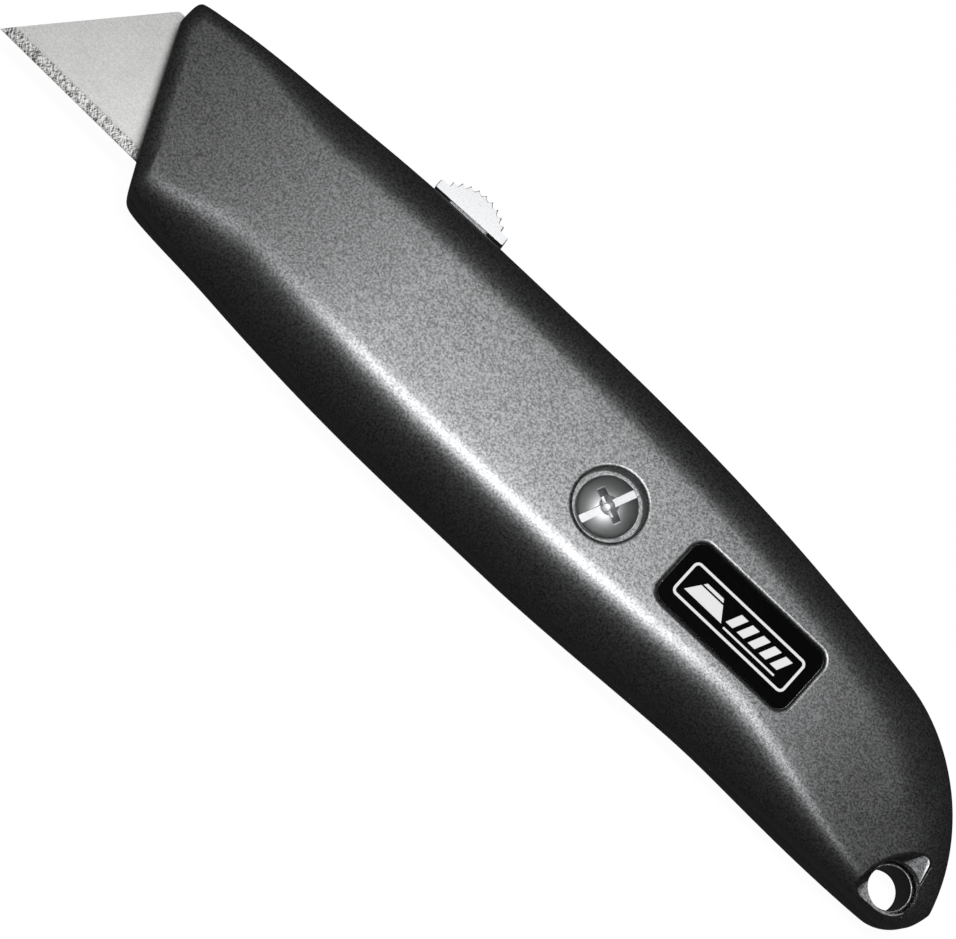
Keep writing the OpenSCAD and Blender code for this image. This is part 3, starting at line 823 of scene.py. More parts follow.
class Insides:
    """Places inside the casing that both halves share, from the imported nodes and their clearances."""

    guide = 0.1 * MM            # gap between the carrier and the sides of its channel
    pad = 0.6 * MM              # height of the pad that lifts the spring off the carrier
    boss = 4.2 * MM             # radius of the screw's boss
    boss_gap = 1.1 * MM         # from the boss to the hollows before and behind it
    front_wall = 2.4 * MM       # casing before the carrier's channel
    roof = 2.7 * MM             # casing over the spring's channel
    leaf_drop = 0.6 * MM        # from that channel's roof to the spring's leaf
    stem_length = 6.6 * MM
    stem_setback = 0.6 * MM     # from the button's stem to the carrier's end
    tail_wall = 11.75 * MM      # solid casing at the tail, round the lanyard hole
    eye = (6.35 * MM, 4.4 * MM)     # lanyard hole's middle, from the tail and above the belly
    dowel_edge = 1.3 * MM       # front dowel, below the spare blades
    rear_dowel = (6.5 * MM, 1.5 * MM)   # rear dowel, before the hollow's end and above the screw

    def __init__(self, shape):
        carrier_low, carrier_high = extent("blade_carrier")
        spring_low, spring_high = extent("latch_spring")
        spare_low, spare_high = extent("spare_blade_1")
        self.travel = next(j["range_m"][1] for j in frame["joints"] if j["name"] == "blade_slide")
        self.channel_end = -self.boss - self.boss_gap
        self.channel_front = shape.nose + self.front_wall
        self.channel_low = carrier_low.y - self.guide
        self.channel_top = spring_low.y - self.pad + self.guide
        self.channel_z = -carrier_low.z + 0.2 * MM
        self.front_corner = shape.nose_line(shape.nose)
        self.rake = math.tan(shape.nose_rake)
        self.bay_z = -spare_low.z
        self.spare = (spare_low.x, spare_high.x, spare_low.y, spare_high.y)
        self.spring = (spring_low.x - 0.7 * MM, shape.spine - self.roof, spring_high.z + 0.3 * MM)
        self.spring_top = self.spring[1] - self.leaf_drop
        stem_end = carrier_high.x - self.stem_setback
        self.stem = (stem_end - self.stem_length, stem_end)
        self.button_x = sum(self.stem) / 2
        self.blade_low = extent("blade")[0].y
        self.blade_y = (self.blade_low - 0.25 * MM, self.channel_top + 0.15 * MM)
        self.hollow = (self.boss + self.boss_gap, shape.tail - self.tail_wall)
        self.lanyard = (shape.tail - self.eye[0], shape.tail_low() + self.eye[1])
        self.dowels = [(0.0, spare_low.y - self.dowel_edge),
                       (self.hollow[1] - self.rear_dowel[0], self.rear_dowel[1])]

    def front(self, y, gap=0.0):
        """The channel's front wall, which follows the slant of the nose."""
        return self.channel_front + gap + max(0.0, self.front_corner - y) * self.rake


def cavities(shape, inside):
    """Cutters for the hollow, the carrier, the spare blades, the spring and the button's stem."""
    past = 1.5 * MM
    soft = 0.2 * MM
    blades = settings("blade")
    places = [between(*inside.hollow, i / 40) for i in range(41)]
    hollow = from_rings("hollow", [shape.ring(x, inset=shape.sizes.wall, base=-past) for x in places])
    front, low, top = inside.front, inside.channel_low, inside.channel_top
    corner = inside.front_corner
    outline = [(front(top), top), (front(corner), corner), (front(low), low), (inside.channel_end, low),
               (inside.channel_end, top)]
    channel = prism("channel", outline, -past, inside.channel_z)
    x0, x1, y0, y1 = inside.spare
    gap = 0.3 * MM
    run = blades.width / math.tan(blades.end_angle)
    step = y0 + 1.5 * MM
    outline = [(x0 - gap, y0 - gap), (x1 + gap, y0 - gap), (x1 + gap, step), (x1 + gap - run, y1 + gap),
               (x0 - gap + run, y1 + gap), (x0 - gap, step)]
    bay = prism("bay", outline, -past, inside.bay_z)
    mouth = block("mouth", (shape.nose - past, inside.blade_y[0], -past),
                  (front(inside.blade_y[0], 1.5 * MM), inside.blade_y[1], 0.55 * MM))
    spring_x, roof, spring_z = inside.spring
    track = block("track", (spring_x, inside.channel_top - 0.3 * MM, -past),
                  (inside.channel_end, roof, spring_z))
    stem_room, chamfer, half_w = 0.3 * MM, 0.35 * MM, 1.7 * MM
    stem0, stem1 = inside.stem[0] - stem_room, inside.stem[1] + inside.travel + stem_room
    slot = block("slot", (stem0, inside.channel_top, -past), (stem1, shape.spine + past, half_w))
    rings = []
    for wide, up in ((0.0, -chamfer), (chamfer, 0.0), (chamfer, past)):
        y = shape.spine + up
        rings.append([(stem0 - wide, y, -past), (stem1 + wide, y, -past), (stem1 + wide, y, half_w + wide),
                      (stem0 - wide, y, half_w + wide)])
    lip = from_rings("lip", rings)
    cutters = [hollow, rounded(channel, soft), rounded(bay, soft), mouth, rounded(track, soft), slot, lip]
    clicks, notch_r = 3, 1.25 * MM
    for i in range(clicks + 1):
        at = (inside.button_x + inside.travel * i / clicks, inside.spring_top)
        cutters.append(prism("notch", circle(notch_r, at, 40), half_w, spring_z))
    return cutters


def recess(name, outline, floor, surface, rim, foot):
    """A cutter for a recess whose outline is outline(offset), with a rounded rim and a fillet at its foot.

    floor and surface give the heights of the recess's floor and of the face that it is cut in at a point.
    rim is the width and the height of the rounded rim.
    """
    rings = []
    for a in quarter(6):
        points = outline(-foot * (1 - math.sin(a)))
        rings.append([(x, y, floor(x, y) + foot * (1 - math.cos(a))) for x, y in points])
    for a in quarter(6):
        points = outline(rim[0] * (1 - math.cos(a)))
        rings.append([(x, y, surface(x, y) - rim[1] * (1 - math.sin(a))) for x, y in points])
    rings.append([(x, y, z + 2 * MM) for x, y, z in rings[-1]])
    return from_rings(name, rings)


def lanyard_pocket(shape, inside):
    """The rounded triangle round the lanyard hole, with a wide hollow slope down to it on the grip's side."""
    x, y = inside.lanyard
    at_floor = ((-2.6, -3.1), (2.5, -2.9), (0.8, 5.1), (-0.19, 3.1), (-1.08, 1.08), (-1.89, -1.0))
    at_face = ((-3.3, -2.8), (2.15, -2.7), (0.75, 4.9), (-0.6, 4.0), (-2.1, 2.1), (-3.1, -0.4))
    corner = (0.9 * MM, 1.3 * MM)
    floor = shape.thick(x) - shape.sizes.pocket
    steps = 14
    rings = []
    for i in range(steps + 1):
        t = i / steps
        centres = [(x + between(a[0], b[0], t) * MM, y + between(a[1], b[1], t) * MM)
                   for a, b in zip(at_floor, at_face)]
        outline = round_hull(centres, between(*corner, t))
        rings.append([(px, py, between(floor, shape.surface(px, py), ease(t))) for px, py in outline])
    rings.append([(px, py, pz + 2 * MM) for px, py, pz in rings[-1]])
    return from_rings("pocket", rings)


def label_plane(shape):
    """Centre of the label's recess on the face, and the slope of the face there."""
    sizes = settings("label")
    start = extent("label_plate")[0].x - sizes.play
    end = start + sizes.recess_length
    rise = shape.thick(end) - shape.thick(start)
    return Vector(((start + end) / 2, 0.25 * MM, (shape.thick(start) + shape.thick(end)) / 2)), math.atan2(
        rise, sizes.recess_length)


def label_recess(shape):
    sizes = settings("label")
    centre, slope = label_plane(shape)
    half_l = (sizes.recess_length / 2 - sizes.corner) * math.cos(slope)
    half_h = sizes.recess_height / 2 - sizes.corner
    corners = [(centre.x + x, centre.y + y) for x, y in rectangle(half_l, half_h)]

    def floor(x, _):
        return centre.z + (x - centre.x) * math.tan(slope) - sizes.recess_depth / math.cos(slope)

    rim = (shape.sizes.rim_width, shape.sizes.rim_height)
    foot = 0.06 * MM
    return recess("recess", lambda offset: round_hull(corners, sizes.corner + offset), floor, shape.surface,
                  rim, foot)


def half_shell(name, shape, inside):
    """One half drawn above the parting plane, with what both halves share, and a copy of its uncut skin."""
    shell = from_rings(name, [shape.ring(x, bead=shape.sizes.bead) for x in shape.stations()])
    skin = shell.data.copy()
    carve(shell, *cavities(shape, inside))
    x, y = inside.dowels[1]
    boss = turned("boss", [(2.6 * MM, 0), (2.6 * MM, shape.thick(x) - shape.sizes.wall / 2)], (x, y), 48)
    return weld(shell, boss), skin


def mirror_down(*meshes):
    """Turns meshes drawn above the parting plane over to below it."""
    for mesh in meshes:
        mesh.transform(Matrix.Scale(-1, 4, (0, 0, 1)))
        mesh.flip_normals()


def eased(radius, height, width, drop, steps):
    """Profile points of a rounded lip that leaves a bore at its radius and opens to a level face."""
    return [(radius + width * (1 - math.cos(a)), height - drop * (1 - math.sin(a))) for a in quarter(steps, 1)]


def make_upper_half(shape, inside):
    shell, skin = half_shell("upper_casing_shell", shape, inside)
    sizes = shape.sizes
    past = 1 * MM
    seat, seat_r = shape.half - 2.8 * MM, settings("screw").head + 0.6 * MM
    low_rib = inside.blade_low + 2.63 * MM
    high_rib = inside.channel_top - 10.3 * MM
    ribs = []
    for y in (low_rib, high_rib):
        ribs.append(block("rib", (inside.front(y, 1 * MM), y, 0.5 * MM),
                          (inside.channel_end + 0.5 * MM, y + 1.4 * MM, inside.bay_z + 0.3 * MM)))
    weld(shell, *ribs)
    hole_r, eye_r, dowel_r = 2.3 * MM, 3.55 * MM, 1.4 * MM
    rim_foot = shape.half - sizes.rim_height
    rim = [(seat_r, rim_foot)] + eased(seat_r, shape.half, sizes.rim_width, sizes.rim_height, 6)
    rim.append((seat_r + sizes.rim_width, shape.half + past))
    cutters = [turned("screw_hole", [(hole_r, -past), (hole_r, shape.half)]),
               turned("seat", [(seat_r, seat), (seat_r, rim_foot)]),
               turned("seat_rim", rim),
               turned("eye", [(eye_r, -past), (eye_r, shape.half)], inside.lanyard),
               lanyard_pocket(shape, inside), label_recess(shape)]
    cutters += [turned("dowel_hole", [(dowel_r, -past), (dowel_r, 2.5 * MM)], at, 48) for at in inside.dowels]
    carve(shell, *cutters)
    tidy(shell)
    return shade_from(shell, skin)


def make_lower_half(shape, inside):
    shell, skin = half_shell("lower_casing_shell", shape, inside)
    sizes = shape.sizes
    past = 1 * MM
    hole, wall, lip, mouth = 2.95 * MM, 0.4 * MM, 0.13 * MM, 0.3 * MM
    tube_end = sizes.pocket + sizes.tube_drop - sizes.tail_half
    pin = [(0.9 * MM, -2.2 * MM), (1.3 * MM, -1.8 * MM), (1.3 * MM, 0.5 * MM)]
    pins = [turned("pin", pin, at, 48) for at in inside.dowels]
    outer = [(hole + wall - lip, tube_end)]
    outer += [(hole + wall - lip * (1 - math.sin(a)), tube_end + lip * (1 - math.cos(a))) for a in quarter(3, 1)]
    outer.append((hole + wall, sizes.tail_half / 2))
    weld(shell, *pins, turned("tube", outer, inside.lanyard))
    floor = shape.thick(inside.lanyard[0]) - sizes.pocket
    inner = [(hole + lip, tube_end - past), (hole + lip, tube_end - 0.001 * MM)]
    inner += [(hole + lip * (1 - math.sin(a)), tube_end + lip * (1 - math.cos(a))) for a in quarter(3, 1)]
    inner += [(hole, floor - mouth)] + eased(hole, floor, mouth, mouth, 3) + [(hole + mouth, shape.half)]
    screw_r = 2.05 * MM
    rest = block("rest", (shape.nose, shape.belly, -extent("lower_casing")[0].z),
                 (shape.tail, shape.spine, shape.half + past))
    carve(shell, turned("screw_bore", [(screw_r, -past), (screw_r, 6.4 * MM)]),
          turned("bore", inner, inside.lanyard), lanyard_pocket(shape, inside), rest)
    tidy(shell)
    mirror_down(shell.data, skin)
    return shade_from(shell, skin)


# ---------------------------------------------------------------- Blades


def blade_outline(sizes):
    """The blade's outline from its front corner, with the two notches in its back."""
    run = sizes.width / math.tan(sizes.end_angle)
    end = math.degrees(sizes.end_angle)
    corner, back = sizes.corner, sizes.width
    tangent = corner * math.tan(math.radians(end) / 2)
    outline = [(0, 0), (sizes.edge_length, 0)]
    outline += arc(sizes.edge_length - run - tangent, back - corner, corner, 90 - end, 90, 8)
    for sign in (1, -1):
        x = sizes.edge_length / 2 + sign * sizes.notch_pitch / 2
        mouth = 0.25 * MM
        outline += arc(x + sizes.notch + mouth, back - mouth, mouth, 90, 180, 4)
        outline += arc(x, back - 1.5 * MM, sizes.notch, 0, -180, 20)
        outline += arc(x - sizes.notch - mouth, back - mouth, mouth, 0, 90, 4)
    outline += arc(run + tangent, back - corner, corner, 90, 90 + end, 8)
    return outline


def make_blade_mesh(name):
    """A blade lying flat, with its front corner at zero and its cutting edge along X."""
    sizes = settings("blade")
    low, high = extent("spare_blade_1")
    half = (high.z - low.z) / 2
    fine = 0.35 * MM          # last, steeper part of the ground bevel
    blank = prism(name, blade_outline(sizes), -2 * half, 2 * half)
    profile = [(-0.01 * MM, 0.0), (0.0, 0.02 * MM), (fine, 0.4 * half), (sizes.bevel, half),
               (sizes.width + 1 * MM, half)]
    section = profile + [(y, -z) for y, z in reversed(profile[1:])]
    ends = (-1 * MM, sizes.edge_length + 1 * MM)
    wedge = from_rings("wedge", [[(x, y, z) for y, z in section] for x in ends])
    combine(blank, [wedge], "INTERSECT")
    return shade_flat(tidy(blank), 12)


def blade_object(template, name):
    obj = bpy.data.objects.new(name, template.data.copy())
    bpy.context.scene.collection.objects.link(obj)
    return obj


def make_blades():
    sizes = settings("blade")
    steel = finish_of("ground_steel", ground_steel)
    template = make_blade_mesh("blade_template")
    low = extent("blade")[0]
    tip = Vector((low.x, low.y + sizes.edge_length * math.sin(sizes.tilt), 0))
    at = Matrix.Translation(tip) @ Matrix.Rotation(-sizes.tilt, 4, "Z")
    deliver(blade_object(template, "cutting_blade"), "cutting_blade", "slide", ["blade"],
            steel, at=at)
    spares = sorted(node for node in frame["nodes"] if node.startswith("spare_blade"))
    for number, node in enumerate(spares, 1):
        low, high = extent(node)
        at = Matrix.Translation((low.x, low.y, (low.z + high.z) / 2))
        deliver(blade_object(template, node), f"stored_blade_{number}", "base", [node],
                steel, at=at)
    bpy.data.objects.remove(template)


# ---------------------------------------------------------------- Carrier, spring and rivet

RIVET_FROM_END = 3 * MM         # rivet's middle, from the front end of the spring


def make_carrier(inside):
    """Pressed carrier: plate under the blade, nubs in its notches, block behind it and pad for the spring."""
    blades = settings("blade")
    low, high = extent("blade_carrier")
    spring_low = extent("latch_spring")[0]
    blade_low = extent("blade")[0]
    half_t = -low.z
    top = inside.channel_top - inside.guide
    back = high.x
    tip = Vector((blade_low.x, blade_low.y + blades.edge_length * math.sin(blades.tilt), 0))
    web_top = -0.3 * MM

    def front(y):
        return inside.front(y, 0.8 * MM)

    def behind(y):
        """Slanted rear end of the blade, with room."""
        slope = math.tan(blades.end_angle + blades.tilt)
        return tip.x + blades.edge_length - (y - tip.y) / slope + 0.5 * MM

    corner = inside.front_corner
    plate = prism("carrier_plate", [(front(top), top), (front(corner), corner), (front(low.y), low.y),
                                    (back, low.y), (back, top)], -half_t, web_top)
    rounded(plate, 0.25 * MM)
    flange = top - 0.3 * MM
    under = top - 7.8 * MM
    rear = prism("carrier_block", [(back, top), (spring_low.x, top), (spring_low.x, flange),
                                   (behind(flange), flange), (behind(under), under), (back, under)],
                 -half_t, half_t)
    pad = block("carrier_pad", (spring_low.x, top - 0.1 * MM, -half_t),
                (spring_low.x + 6 * MM, spring_low.y, half_t))
    nubs = []
    turn = Matrix.Translation(tip) @ Matrix.Rotation(-blades.tilt, 4, "Z")
    r = blades.notch - 0.15 * MM
    for sign in (-1, 1):
        along = blades.edge_length / 2 + sign * blades.notch_pitch / 2
        at = turn @ Vector((along, blades.width - 1.5 * MM, 0))
        nubs.append(turned("nub", [(r, web_top - 0.5 * MM), (r, 0.95 * MM), (r - 0.12 * MM, 1.12 * MM),
                                   (r - 0.35 * MM, 1.2 * MM)], (at.x, at.y), steps=40))
    weld(plate, rounded(rear, 0.12 * MM), pad, *nubs)
    carve(plate, rivet_hole((spring_low.x + RIVET_FROM_END, flange, 0), -1.2 * MM))
    return shade_flat(tidy(plate))


def rivet_hole(foot, start):
    """A cutter for the rivet's hole, upright in Y, from start below its foot."""
    radius = 0.82 * MM
    hole = turned("rivet_hole", [(radius, start), (radius, 3 * MM)], steps=40)
    hole.data.transform(stood_up(*foot))
    return hole


def stood_up(x, y, z):
    """The move that stands what is drawn along Z up along Y, at a place."""
    return Matrix.Translation((x, y, z)) @ Matrix.Rotation(-math.pi / 2, 4, "X")


def make_spring(inside):
    """Leaf spring with a rounded ear on each side of the button's stem."""
    low, high = extent("latch_spring")
    leaf_top = inside.spring_top
    strip = rounded(block("leaf", (low.x, low.y, low.z), (high.x, leaf_top, high.z)), 0.12 * MM)
    ear, flare = 1.0 * MM, 0.8 * MM
    for side in (-1, 1):
        outline = [(inside.button_x + ear + flare, low.y + 0.2 * MM)]
        outline += arc(inside.button_x, leaf_top, ear, 0, 180, 24)
        outline += [(inside.button_x - ear - flare, low.y + 0.2 * MM)]
        ends = sorted((side * 1.9 * MM, side * (high.z - 0.01 * MM)))
        weld(strip, rounded(prism("ear", outline, *ends), 0.08 * MM))
    carve(strip, rivet_hole((low.x + RIVET_FROM_END, low.y, 0), -2 * MM))
    return shade_flat(tidy(strip))


def make_rivet():
    """Rivet with a domed head."""
    low, high = extent("spring_rivet")
    head_low, head_r, shank_r = high.y - 0.35 * MM, (high.x - low.x) / 2, 0.8 * MM
    dome = [(head_r * math.cos(a) if a < 1.5 else 0.05 * MM, head_low + 0.08 * MM + 0.27 * MM * math.sin(a))
            for a in (math.radians(10 * i) for i in range(10))]
    profile = [(shank_r - 0.1 * MM, low.y), (shank_r, low.y + 0.1 * MM), (shank_r, head_low),
               (head_r - 0.03 * MM, head_low)]
    rivet = turned("rivet", profile + dome, steps=48)
    rivet.data.transform(stood_up((low.x + high.x) / 2, 0, 0))
    return shade(rivet)


# ---------------------------------------------------------------- Button


def button_profile(sizes, foot_y, top_y):
    """Side view of the button: foot plate with rounded ends, then a dome of rounded teeth."""
    centre = top_y - sizes.dome
    pitch = 2 * sizes.reach / (sizes.teeth - 1)
    half, end_r = sizes.plate / 2, 0.35 * MM
    per_tooth = 8
    outline = arc(-half + 0.2 * MM, foot_y + 0.2 * MM, 0.2 * MM, 180, 270, 4)
    outline += arc(half - 0.2 * MM, foot_y + 0.2 * MM, 0.2 * MM, 270, 360, 4)
    outline += arc(half - end_r, foot_y + sizes.foot - end_r, end_r, 0, 90, 5)
    reach = sizes.reach + pitch / 2
    for i in range(sizes.teeth * per_tooth + 1):
        a = reach - i * pitch / per_tooth
        r = sizes.dome - sizes.valley * abs(math.cos(math.pi * i / per_tooth))
        outline.append((r * math.sin(a), centre + r * math.cos(a)))
    outline += arc(-half + end_r, foot_y + sizes.foot - end_r, end_r, 90, 180, 5)
    return outline


def make_button(inside):
    """Toothed thumb button with eased side faces, on a stem that reaches down to the spring."""
    sizes = settings("button")
    low, high = extent("thumb_button")
    foot_y = high.y - 3.75 * MM
    outline = button_profile(sizes, 0.0, high.y - foot_y)
    half_w, ease_r = high.z, 0.12 * MM
    middle = (0.0, 1.4 * MM)
    rings = []
    for side in (-1, 1):
        steps = range(6) if side < 0 else reversed(range(6))
        for i in steps:
            a = math.radians(18 * i)
            pull = ease_r * (1 - math.sin(a))
            z = side * (half_w - ease_r * (1 - math.cos(a)))
            ring = []
            for x, y in outline:
                reach = math.hypot(x - middle[0], y - middle[1])
                k = 1 - pull / max(reach, pull)
                ring.append((middle[0] + (x - middle[0]) * k, middle[1] + (y - middle[1]) * k, z))
            rings.append(ring)
    button = from_rings("button", rings)
    place = Matrix.Translation((inside.button_x, foot_y, 0)) @ Matrix.Rotation(sizes.tilt, 4, "Z")
    button.data.transform(place)
    half_stem = 1.4 * MM
    stem = block("stem", (inside.stem[0], low.y, -half_stem), (inside.stem[1], foot_y + 0.6 * MM, half_stem))
    weld(button, rounded(stem, 0.15 * MM))
    return shade_flat(tidy(button), 38)


# ---------------------------------------------------------------- Screw


def threaded_shank(sizes, low, high):
    """Shank with a true helical thread, closed at both ends."""
    depth, around, per_turn = 0.35 * MM, 48, 10
    plain_from = low + 5.5 * MM
    rows = []
    z = low
    while z < high:
        tip = min(1.0, (z - low) / (0.6 * MM))
        fade = min(1.0, max(0.0, (plain_from - z) / sizes.pitch))
        row = []
        for i in range(around):
            a = 2 * math.pi * i / around
            phase = (z / sizes.pitch - i / around) % 1.0
            cut = abs(2 * phase - 1) * depth * fade
            r = (sizes.thread - 0.05 * MM * (1 - fade) - cut) - 0.35 * MM * (1 - tip)
            row.append((r * math.cos(a), r * math.sin(a), z))
        rows.append(row)
        z += sizes.pitch / per_turn
    return from_rings("shank", rows)


def make_screw():
    """Pan-head screw with a slot and a tapered cross recess, and a helical thread."""
    sizes = settings("screw")
    low, high = extent("body_screw")
    seat, top, r = high.z - 2.4 * MM, high.z, sizes.head - 0.2 * MM
    crown_r = 7.9 * MM
    wall = 1.15 * MM
    profile = [(r - 0.12 * MM, seat), (r, seat + 0.12 * MM), (r, seat + wall)]
    shoulder = 0.25 * MM
    profile += [(r - shoulder * (1 - math.cos(a)), seat + wall + shoulder * math.sin(a))
                for a in (math.radians(11 * i) for i in range(1, 6))]
    start_r, start_z = profile[-1]
    for i in range(1, 12):
        t = i / 12
        profile.append((start_r * (1 - t), top - (top - start_z) * (1 - t) ** 2.2))
    head = turned("head", profile, steps=128)
    bottom = top - sizes.recess
    half_w = sizes.slot / 2
    past = 1 * MM
    slot = from_rings("slot", [[(x, y, z) for x, y in rectangle(r + past, w)]
                               for w, z in ((half_w - 0.08 * MM, bottom), (half_w, top + past))])
    arm = sizes.cross / 2
    levels = ((0.4 * half_w, 0.55 * arm, bottom - 0.7 * MM), (half_w, arm, top), (half_w, arm, top + past))
    cross = from_rings("cross", [[(x, y, z) for x, y in rectangle(w, a)] for w, a, z in levels])
    well_r = 1.35 * MM
    well = turned("well", [(0.5 * MM, bottom - 0.9 * MM), (well_r, top - 0.5 * MM), (well_r, top + past)],
                  steps=32)
    carve(head, slot, cross, well)
    tidy(head)
    rounded(head, 0.09 * MM, steps=2, over=40)
    shank = threaded_shank(sizes, low.z, seat + 0.3 * MM)
    head.data.transform(Matrix.Rotation(sizes.slot_angle, 4, "Z"))
    weld(head, shank)
    return shade_flat(tidy(head), 35)


# ---------------------------------------------------------------- Label


def make_label(shape):
    """Thin label plate with an eased edge, drawn flat about its own middle."""
    sizes = settings("label")
    half_l = sizes.recess_length / 2 - sizes.corner
    half_h = sizes.recess_height / 2 - sizes.corner
    corners = rectangle(half_l, half_h)
    edge, radius = 0.12 * MM, sizes.corner - sizes.play
    levels = [(0.0, 0.0), (0.0, sizes.plate - edge)]
    levels += [(-edge * (1 - math.cos(a)), sizes.plate - edge * (1 - math.sin(a))) for a in quarter(4, 1)]
    return shade_flat(from_rings("label", [[(x, y, z) for x, y in round_hull(corners, radius + offset, 14)]
                                      for offset, z in levels]))


# ---------------------------------------------------------------- Operators


class KNIFE_OT_casing(bpy.types.Operator):
    """Build both casing halves with their recesses, channels and bosses"""

    bl_idname = "knife.casing"
    bl_label = "Casing halves"

    def execute(self, context):
        shape = Shape()
        inside = Insides(shape)
        paint = finish_of("casing_paint", casing_paint)
        deliver(make_upper_half(shape, inside), "upper_half", "cover", ["upper_casing"], paint)
        deliver(make_lower_half(shape, inside), "lower_half", "base", ["lower_casing"], paint)
        return {"FINISHED"}


class KNIFE_OT_blades(bpy.types.Operator):
    """Build the blade in use and the spare blades"""

    bl_idname = "knife.blades"
    bl_label = "Blades"

    def execute(self, context):
        make_blades()
        return {"FINISHED"}


class KNIFE_OT_slide(bpy.types.Operator):
    """Build the blade carrier, its latch spring and the rivet between them"""

    bl_idname = "knife.slide"
    bl_label = "Carrier and spring"

    def execute(self, context):
        inside = Insides(Shape())
        plating = finish_of("spring_plating", bright_plating, "spring_plating", 0.9, 0.26)
        deliver(make_carrier(inside), "carrier", "slide", ["blade_carrier"],
                finish_of("pressed_steel", pressed_steel))
        deliver(make_spring(inside), "leaf_spring", "slide", ["latch_spring"], plating)
        deliver(make_rivet(), "rivet", "slide", ["spring_rivet"], plating)
        return {"FINISHED"}


class KNIFE_OT_button(bpy.types.Operator):
    """Build the toothed thumb button and its stem"""

    bl_idname = "knife.button"
    bl_label = "Thumb button"

    def execute(self, context):
        deliver(make_button(Insides(Shape())), "button", "button", ["thumb_button"],
                finish_of("button_plating", button_plating))
        return {"FINISHED"}


class KNIFE_OT_screw(bpy.types.Operator):
    """Build the screw with its slotted head and its thread"""

    bl_idname = "knife.screw"
    bl_label = "Body screw"

    def execute(self, context):
        plating = finish_of("screw_plating", bright_plating, "screw_plating", 0.8, 0.46)
        deliver(make_screw(), "screw", "screw", ["body_screw"], plating)
        return {"FINISHED"}


class KNIFE_OT_label(bpy.types.Operator):
    """Build the label plate in its recess"""

    bl_idname = "knife.label"
    bl_label = "Label"

    def execute(self, context):
        centre, slope = label_plane(Shape())
        depth = Matrix.Translation((0, 0, -settings("label").recess_depth))
        deliver(make_label(Shape()), "label", "cover", ["label_plate"],
                finish_of("printed_label", printed_label),
                at=Matrix.Translation(centre) @ Matrix.Rotation(-slope, 4, "Y") @ depth)
        return {"FINISHED"}


def softbox(name, place, aim, size, power):
    """A rectangular studio light at a place, facing a point, both from the knife's zero."""
    lamp = bpy.data.lights.new(name, "AREA")
    lamp.shape = "RECTANGLE"
    lamp.size, lamp.size_y = size
    lamp.energy = power
    light = bpy.data.objects.new(name, lamp)
    light.location = ZERO + Vector(place)
    light.rotation_euler = (Vector(aim) - Vector(place)).to_track_quat("-Z", "Y").to_euler()
    bpy.context.scene.collection.objects.link(light)
    return light


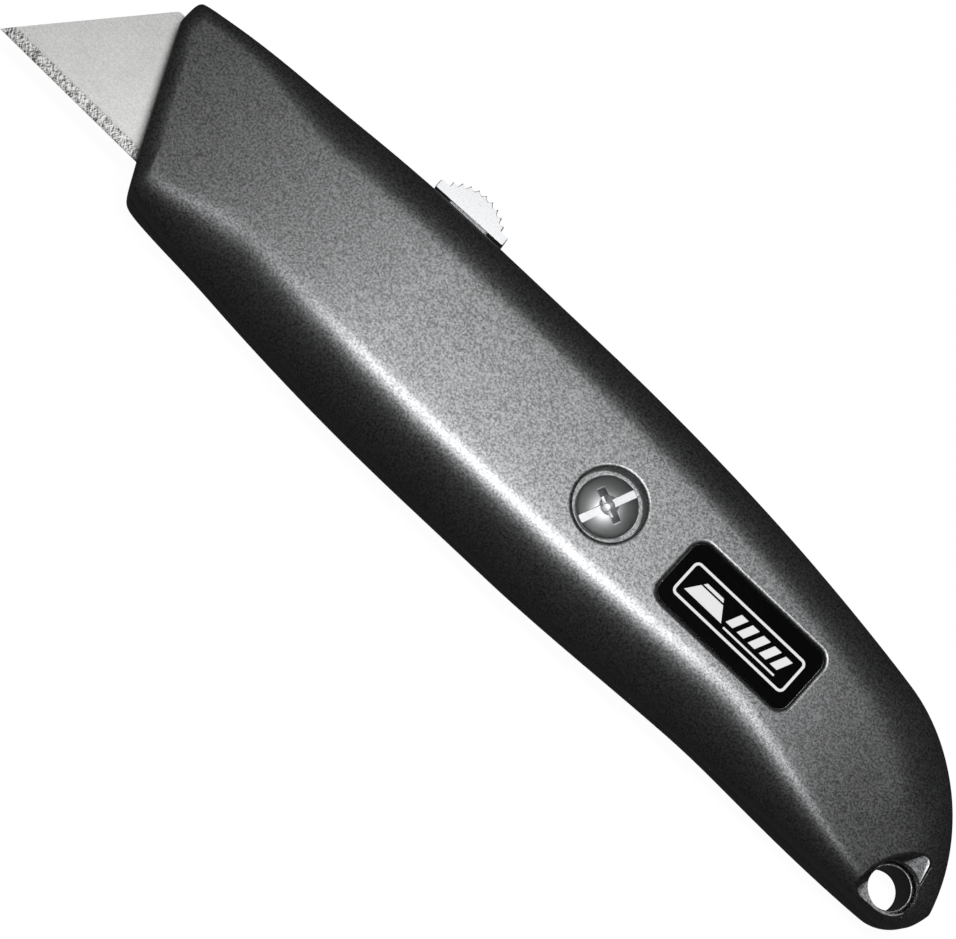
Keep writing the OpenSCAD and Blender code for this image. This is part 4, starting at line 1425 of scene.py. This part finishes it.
class KNIFE_OT_stage(bpy.types.Operator):
    """Build the camera, the lights and the floor"""

    bl_idname = "knife.stage"
    bl_label = "Stage"

    def execute(self, context):
        stage = settings("stage")
        self.add_camera(context.scene, stage)
        self.add_floor(stage)
        softbox("key_light", (4 * MM, 0, 600 * MM), (4 * MM, 0, 0), (150 * MM, 90 * MM), stage.key)
        softbox("nose_light", (-130 * MM, 150 * MM, 600 * MM), (-70 * MM, 0, 0), (160 * MM, 100 * MM),
                stage.nose)
        context.scene.world = self.make_world(stage)
        context.scene.view_settings.view_transform = "Standard"
        return {"FINISHED"}

    def make_world(self, stage):
        """Dim light from all round, behind a pale backdrop that lights nothing."""
        world = bpy.data.worlds.new("studio")
        world.use_nodes = True
        tree = world.node_tree
        tree.nodes.clear()
        dim = tree.nodes.new("ShaderNodeBackground")
        dim.inputs["Strength"].default_value = stage.fill
        pale = tree.nodes.new("ShaderNodeBackground")
        pale.inputs["Strength"].default_value = 0.985
        path = tree.nodes.new("ShaderNodeLightPath")
        either = tree.nodes.new("ShaderNodeMixShader")
        end = tree.nodes.new("ShaderNodeOutputWorld")
        for back in (dim, pale):
            back.inputs["Color"].default_value = (1, 1, 1, 1)
        tree.links.new(path.outputs["Is Camera Ray"], either.inputs[0])
        tree.links.new(dim.outputs[0], either.inputs[1])
        tree.links.new(pale.outputs[0], either.inputs[2])
        tree.links.new(either.outputs[0], end.inputs["Surface"])
        return world

    def add_camera(self, scene, stage):
        """The camera above the knife, leaning towards its belly, with the nose at the upper left."""
        target = Vector(stage.target)
        away = Vector((0, -math.sin(stage.tilt), math.cos(stage.tilt)))
        level = Vector((1, 0, 0))
        upright = away.cross(level)
        right = math.cos(stage.roll) * level + math.sin(stage.roll) * upright
        up = away.cross(right)
        lens = bpy.data.cameras.new("camera")
        lens.lens = stage.lens
        lens.clip_start, lens.clip_end = 0.01, 20
        camera = bpy.data.objects.new("camera", lens)
        turn = Matrix((right, up, away)).transposed().to_4x4()
        camera.matrix_world = Matrix.Translation(ZERO + target + away * stage.distance) @ turn
        scene.collection.objects.link(camera)
        scene.camera = camera

    def add_floor(self, stage):
        """A large sheet of paper under the knife."""
        half = 3.0
        floor = solid("floor", [(x, y, 0) for x, y in rectangle(half, half)], [(0, 1, 2, 3)])
        floor.data.materials.append(finish_of("studio_paper", floor_paper))
        floor.visible_diffuse = floor.visible_glossy = False


class KNIFE_PT_panel(bpy.types.Panel):
    """Sidebar panel with a button for each piece"""

    bl_idname = "KNIFE_PT_panel"
    bl_label = "Utility knife"
    bl_space_type = "VIEW_3D"
    bl_region_type = "UI"
    bl_category = "Knife"

    def draw(self, context):
        for operator in OPERATORS:
            self.layout.operator(operator.bl_idname)


GROUPS = {"casing": KnifeCasingSizes, "blade": KnifeBladeSizes, "button": KnifeButtonSizes,
          "screw": KnifeScrewSizes, "label": KnifeLabelSizes, "finish": KnifeFinish, "stage": KnifeStage}
OPERATORS = [KNIFE_OT_stage, KNIFE_OT_casing, KNIFE_OT_blades, KNIFE_OT_slide, KNIFE_OT_button,
             KNIFE_OT_screw, KNIFE_OT_label]


def register():
    for group in GROUPS.values():
        bpy.utils.register_class(group)
    for operator in OPERATORS:
        bpy.utils.register_class(operator)
    bpy.utils.register_class(KNIFE_PT_panel)
    for name, group in GROUPS.items():
        setattr(bpy.types.Scene, "knife_" + name, PointerProperty(type=group))


def unregister():
    for name in GROUPS:
        delattr(bpy.types.Scene, "knife_" + name)
    bpy.utils.unregister_class(KNIFE_PT_panel)
    for operator in reversed(OPERATORS):
        bpy.utils.unregister_class(operator)
    for group in reversed(GROUPS.values()):
        bpy.utils.unregister_class(group)


def main():
    register()
    bpy.ops.knife.stage()
    bpy.ops.knife.casing()
    bpy.ops.knife.blades()
    bpy.ops.knife.slide()
    bpy.ops.knife.button()
    bpy.ops.knife.screw()
    bpy.ops.knife.label()


if __name__ == "__main__":
    main()
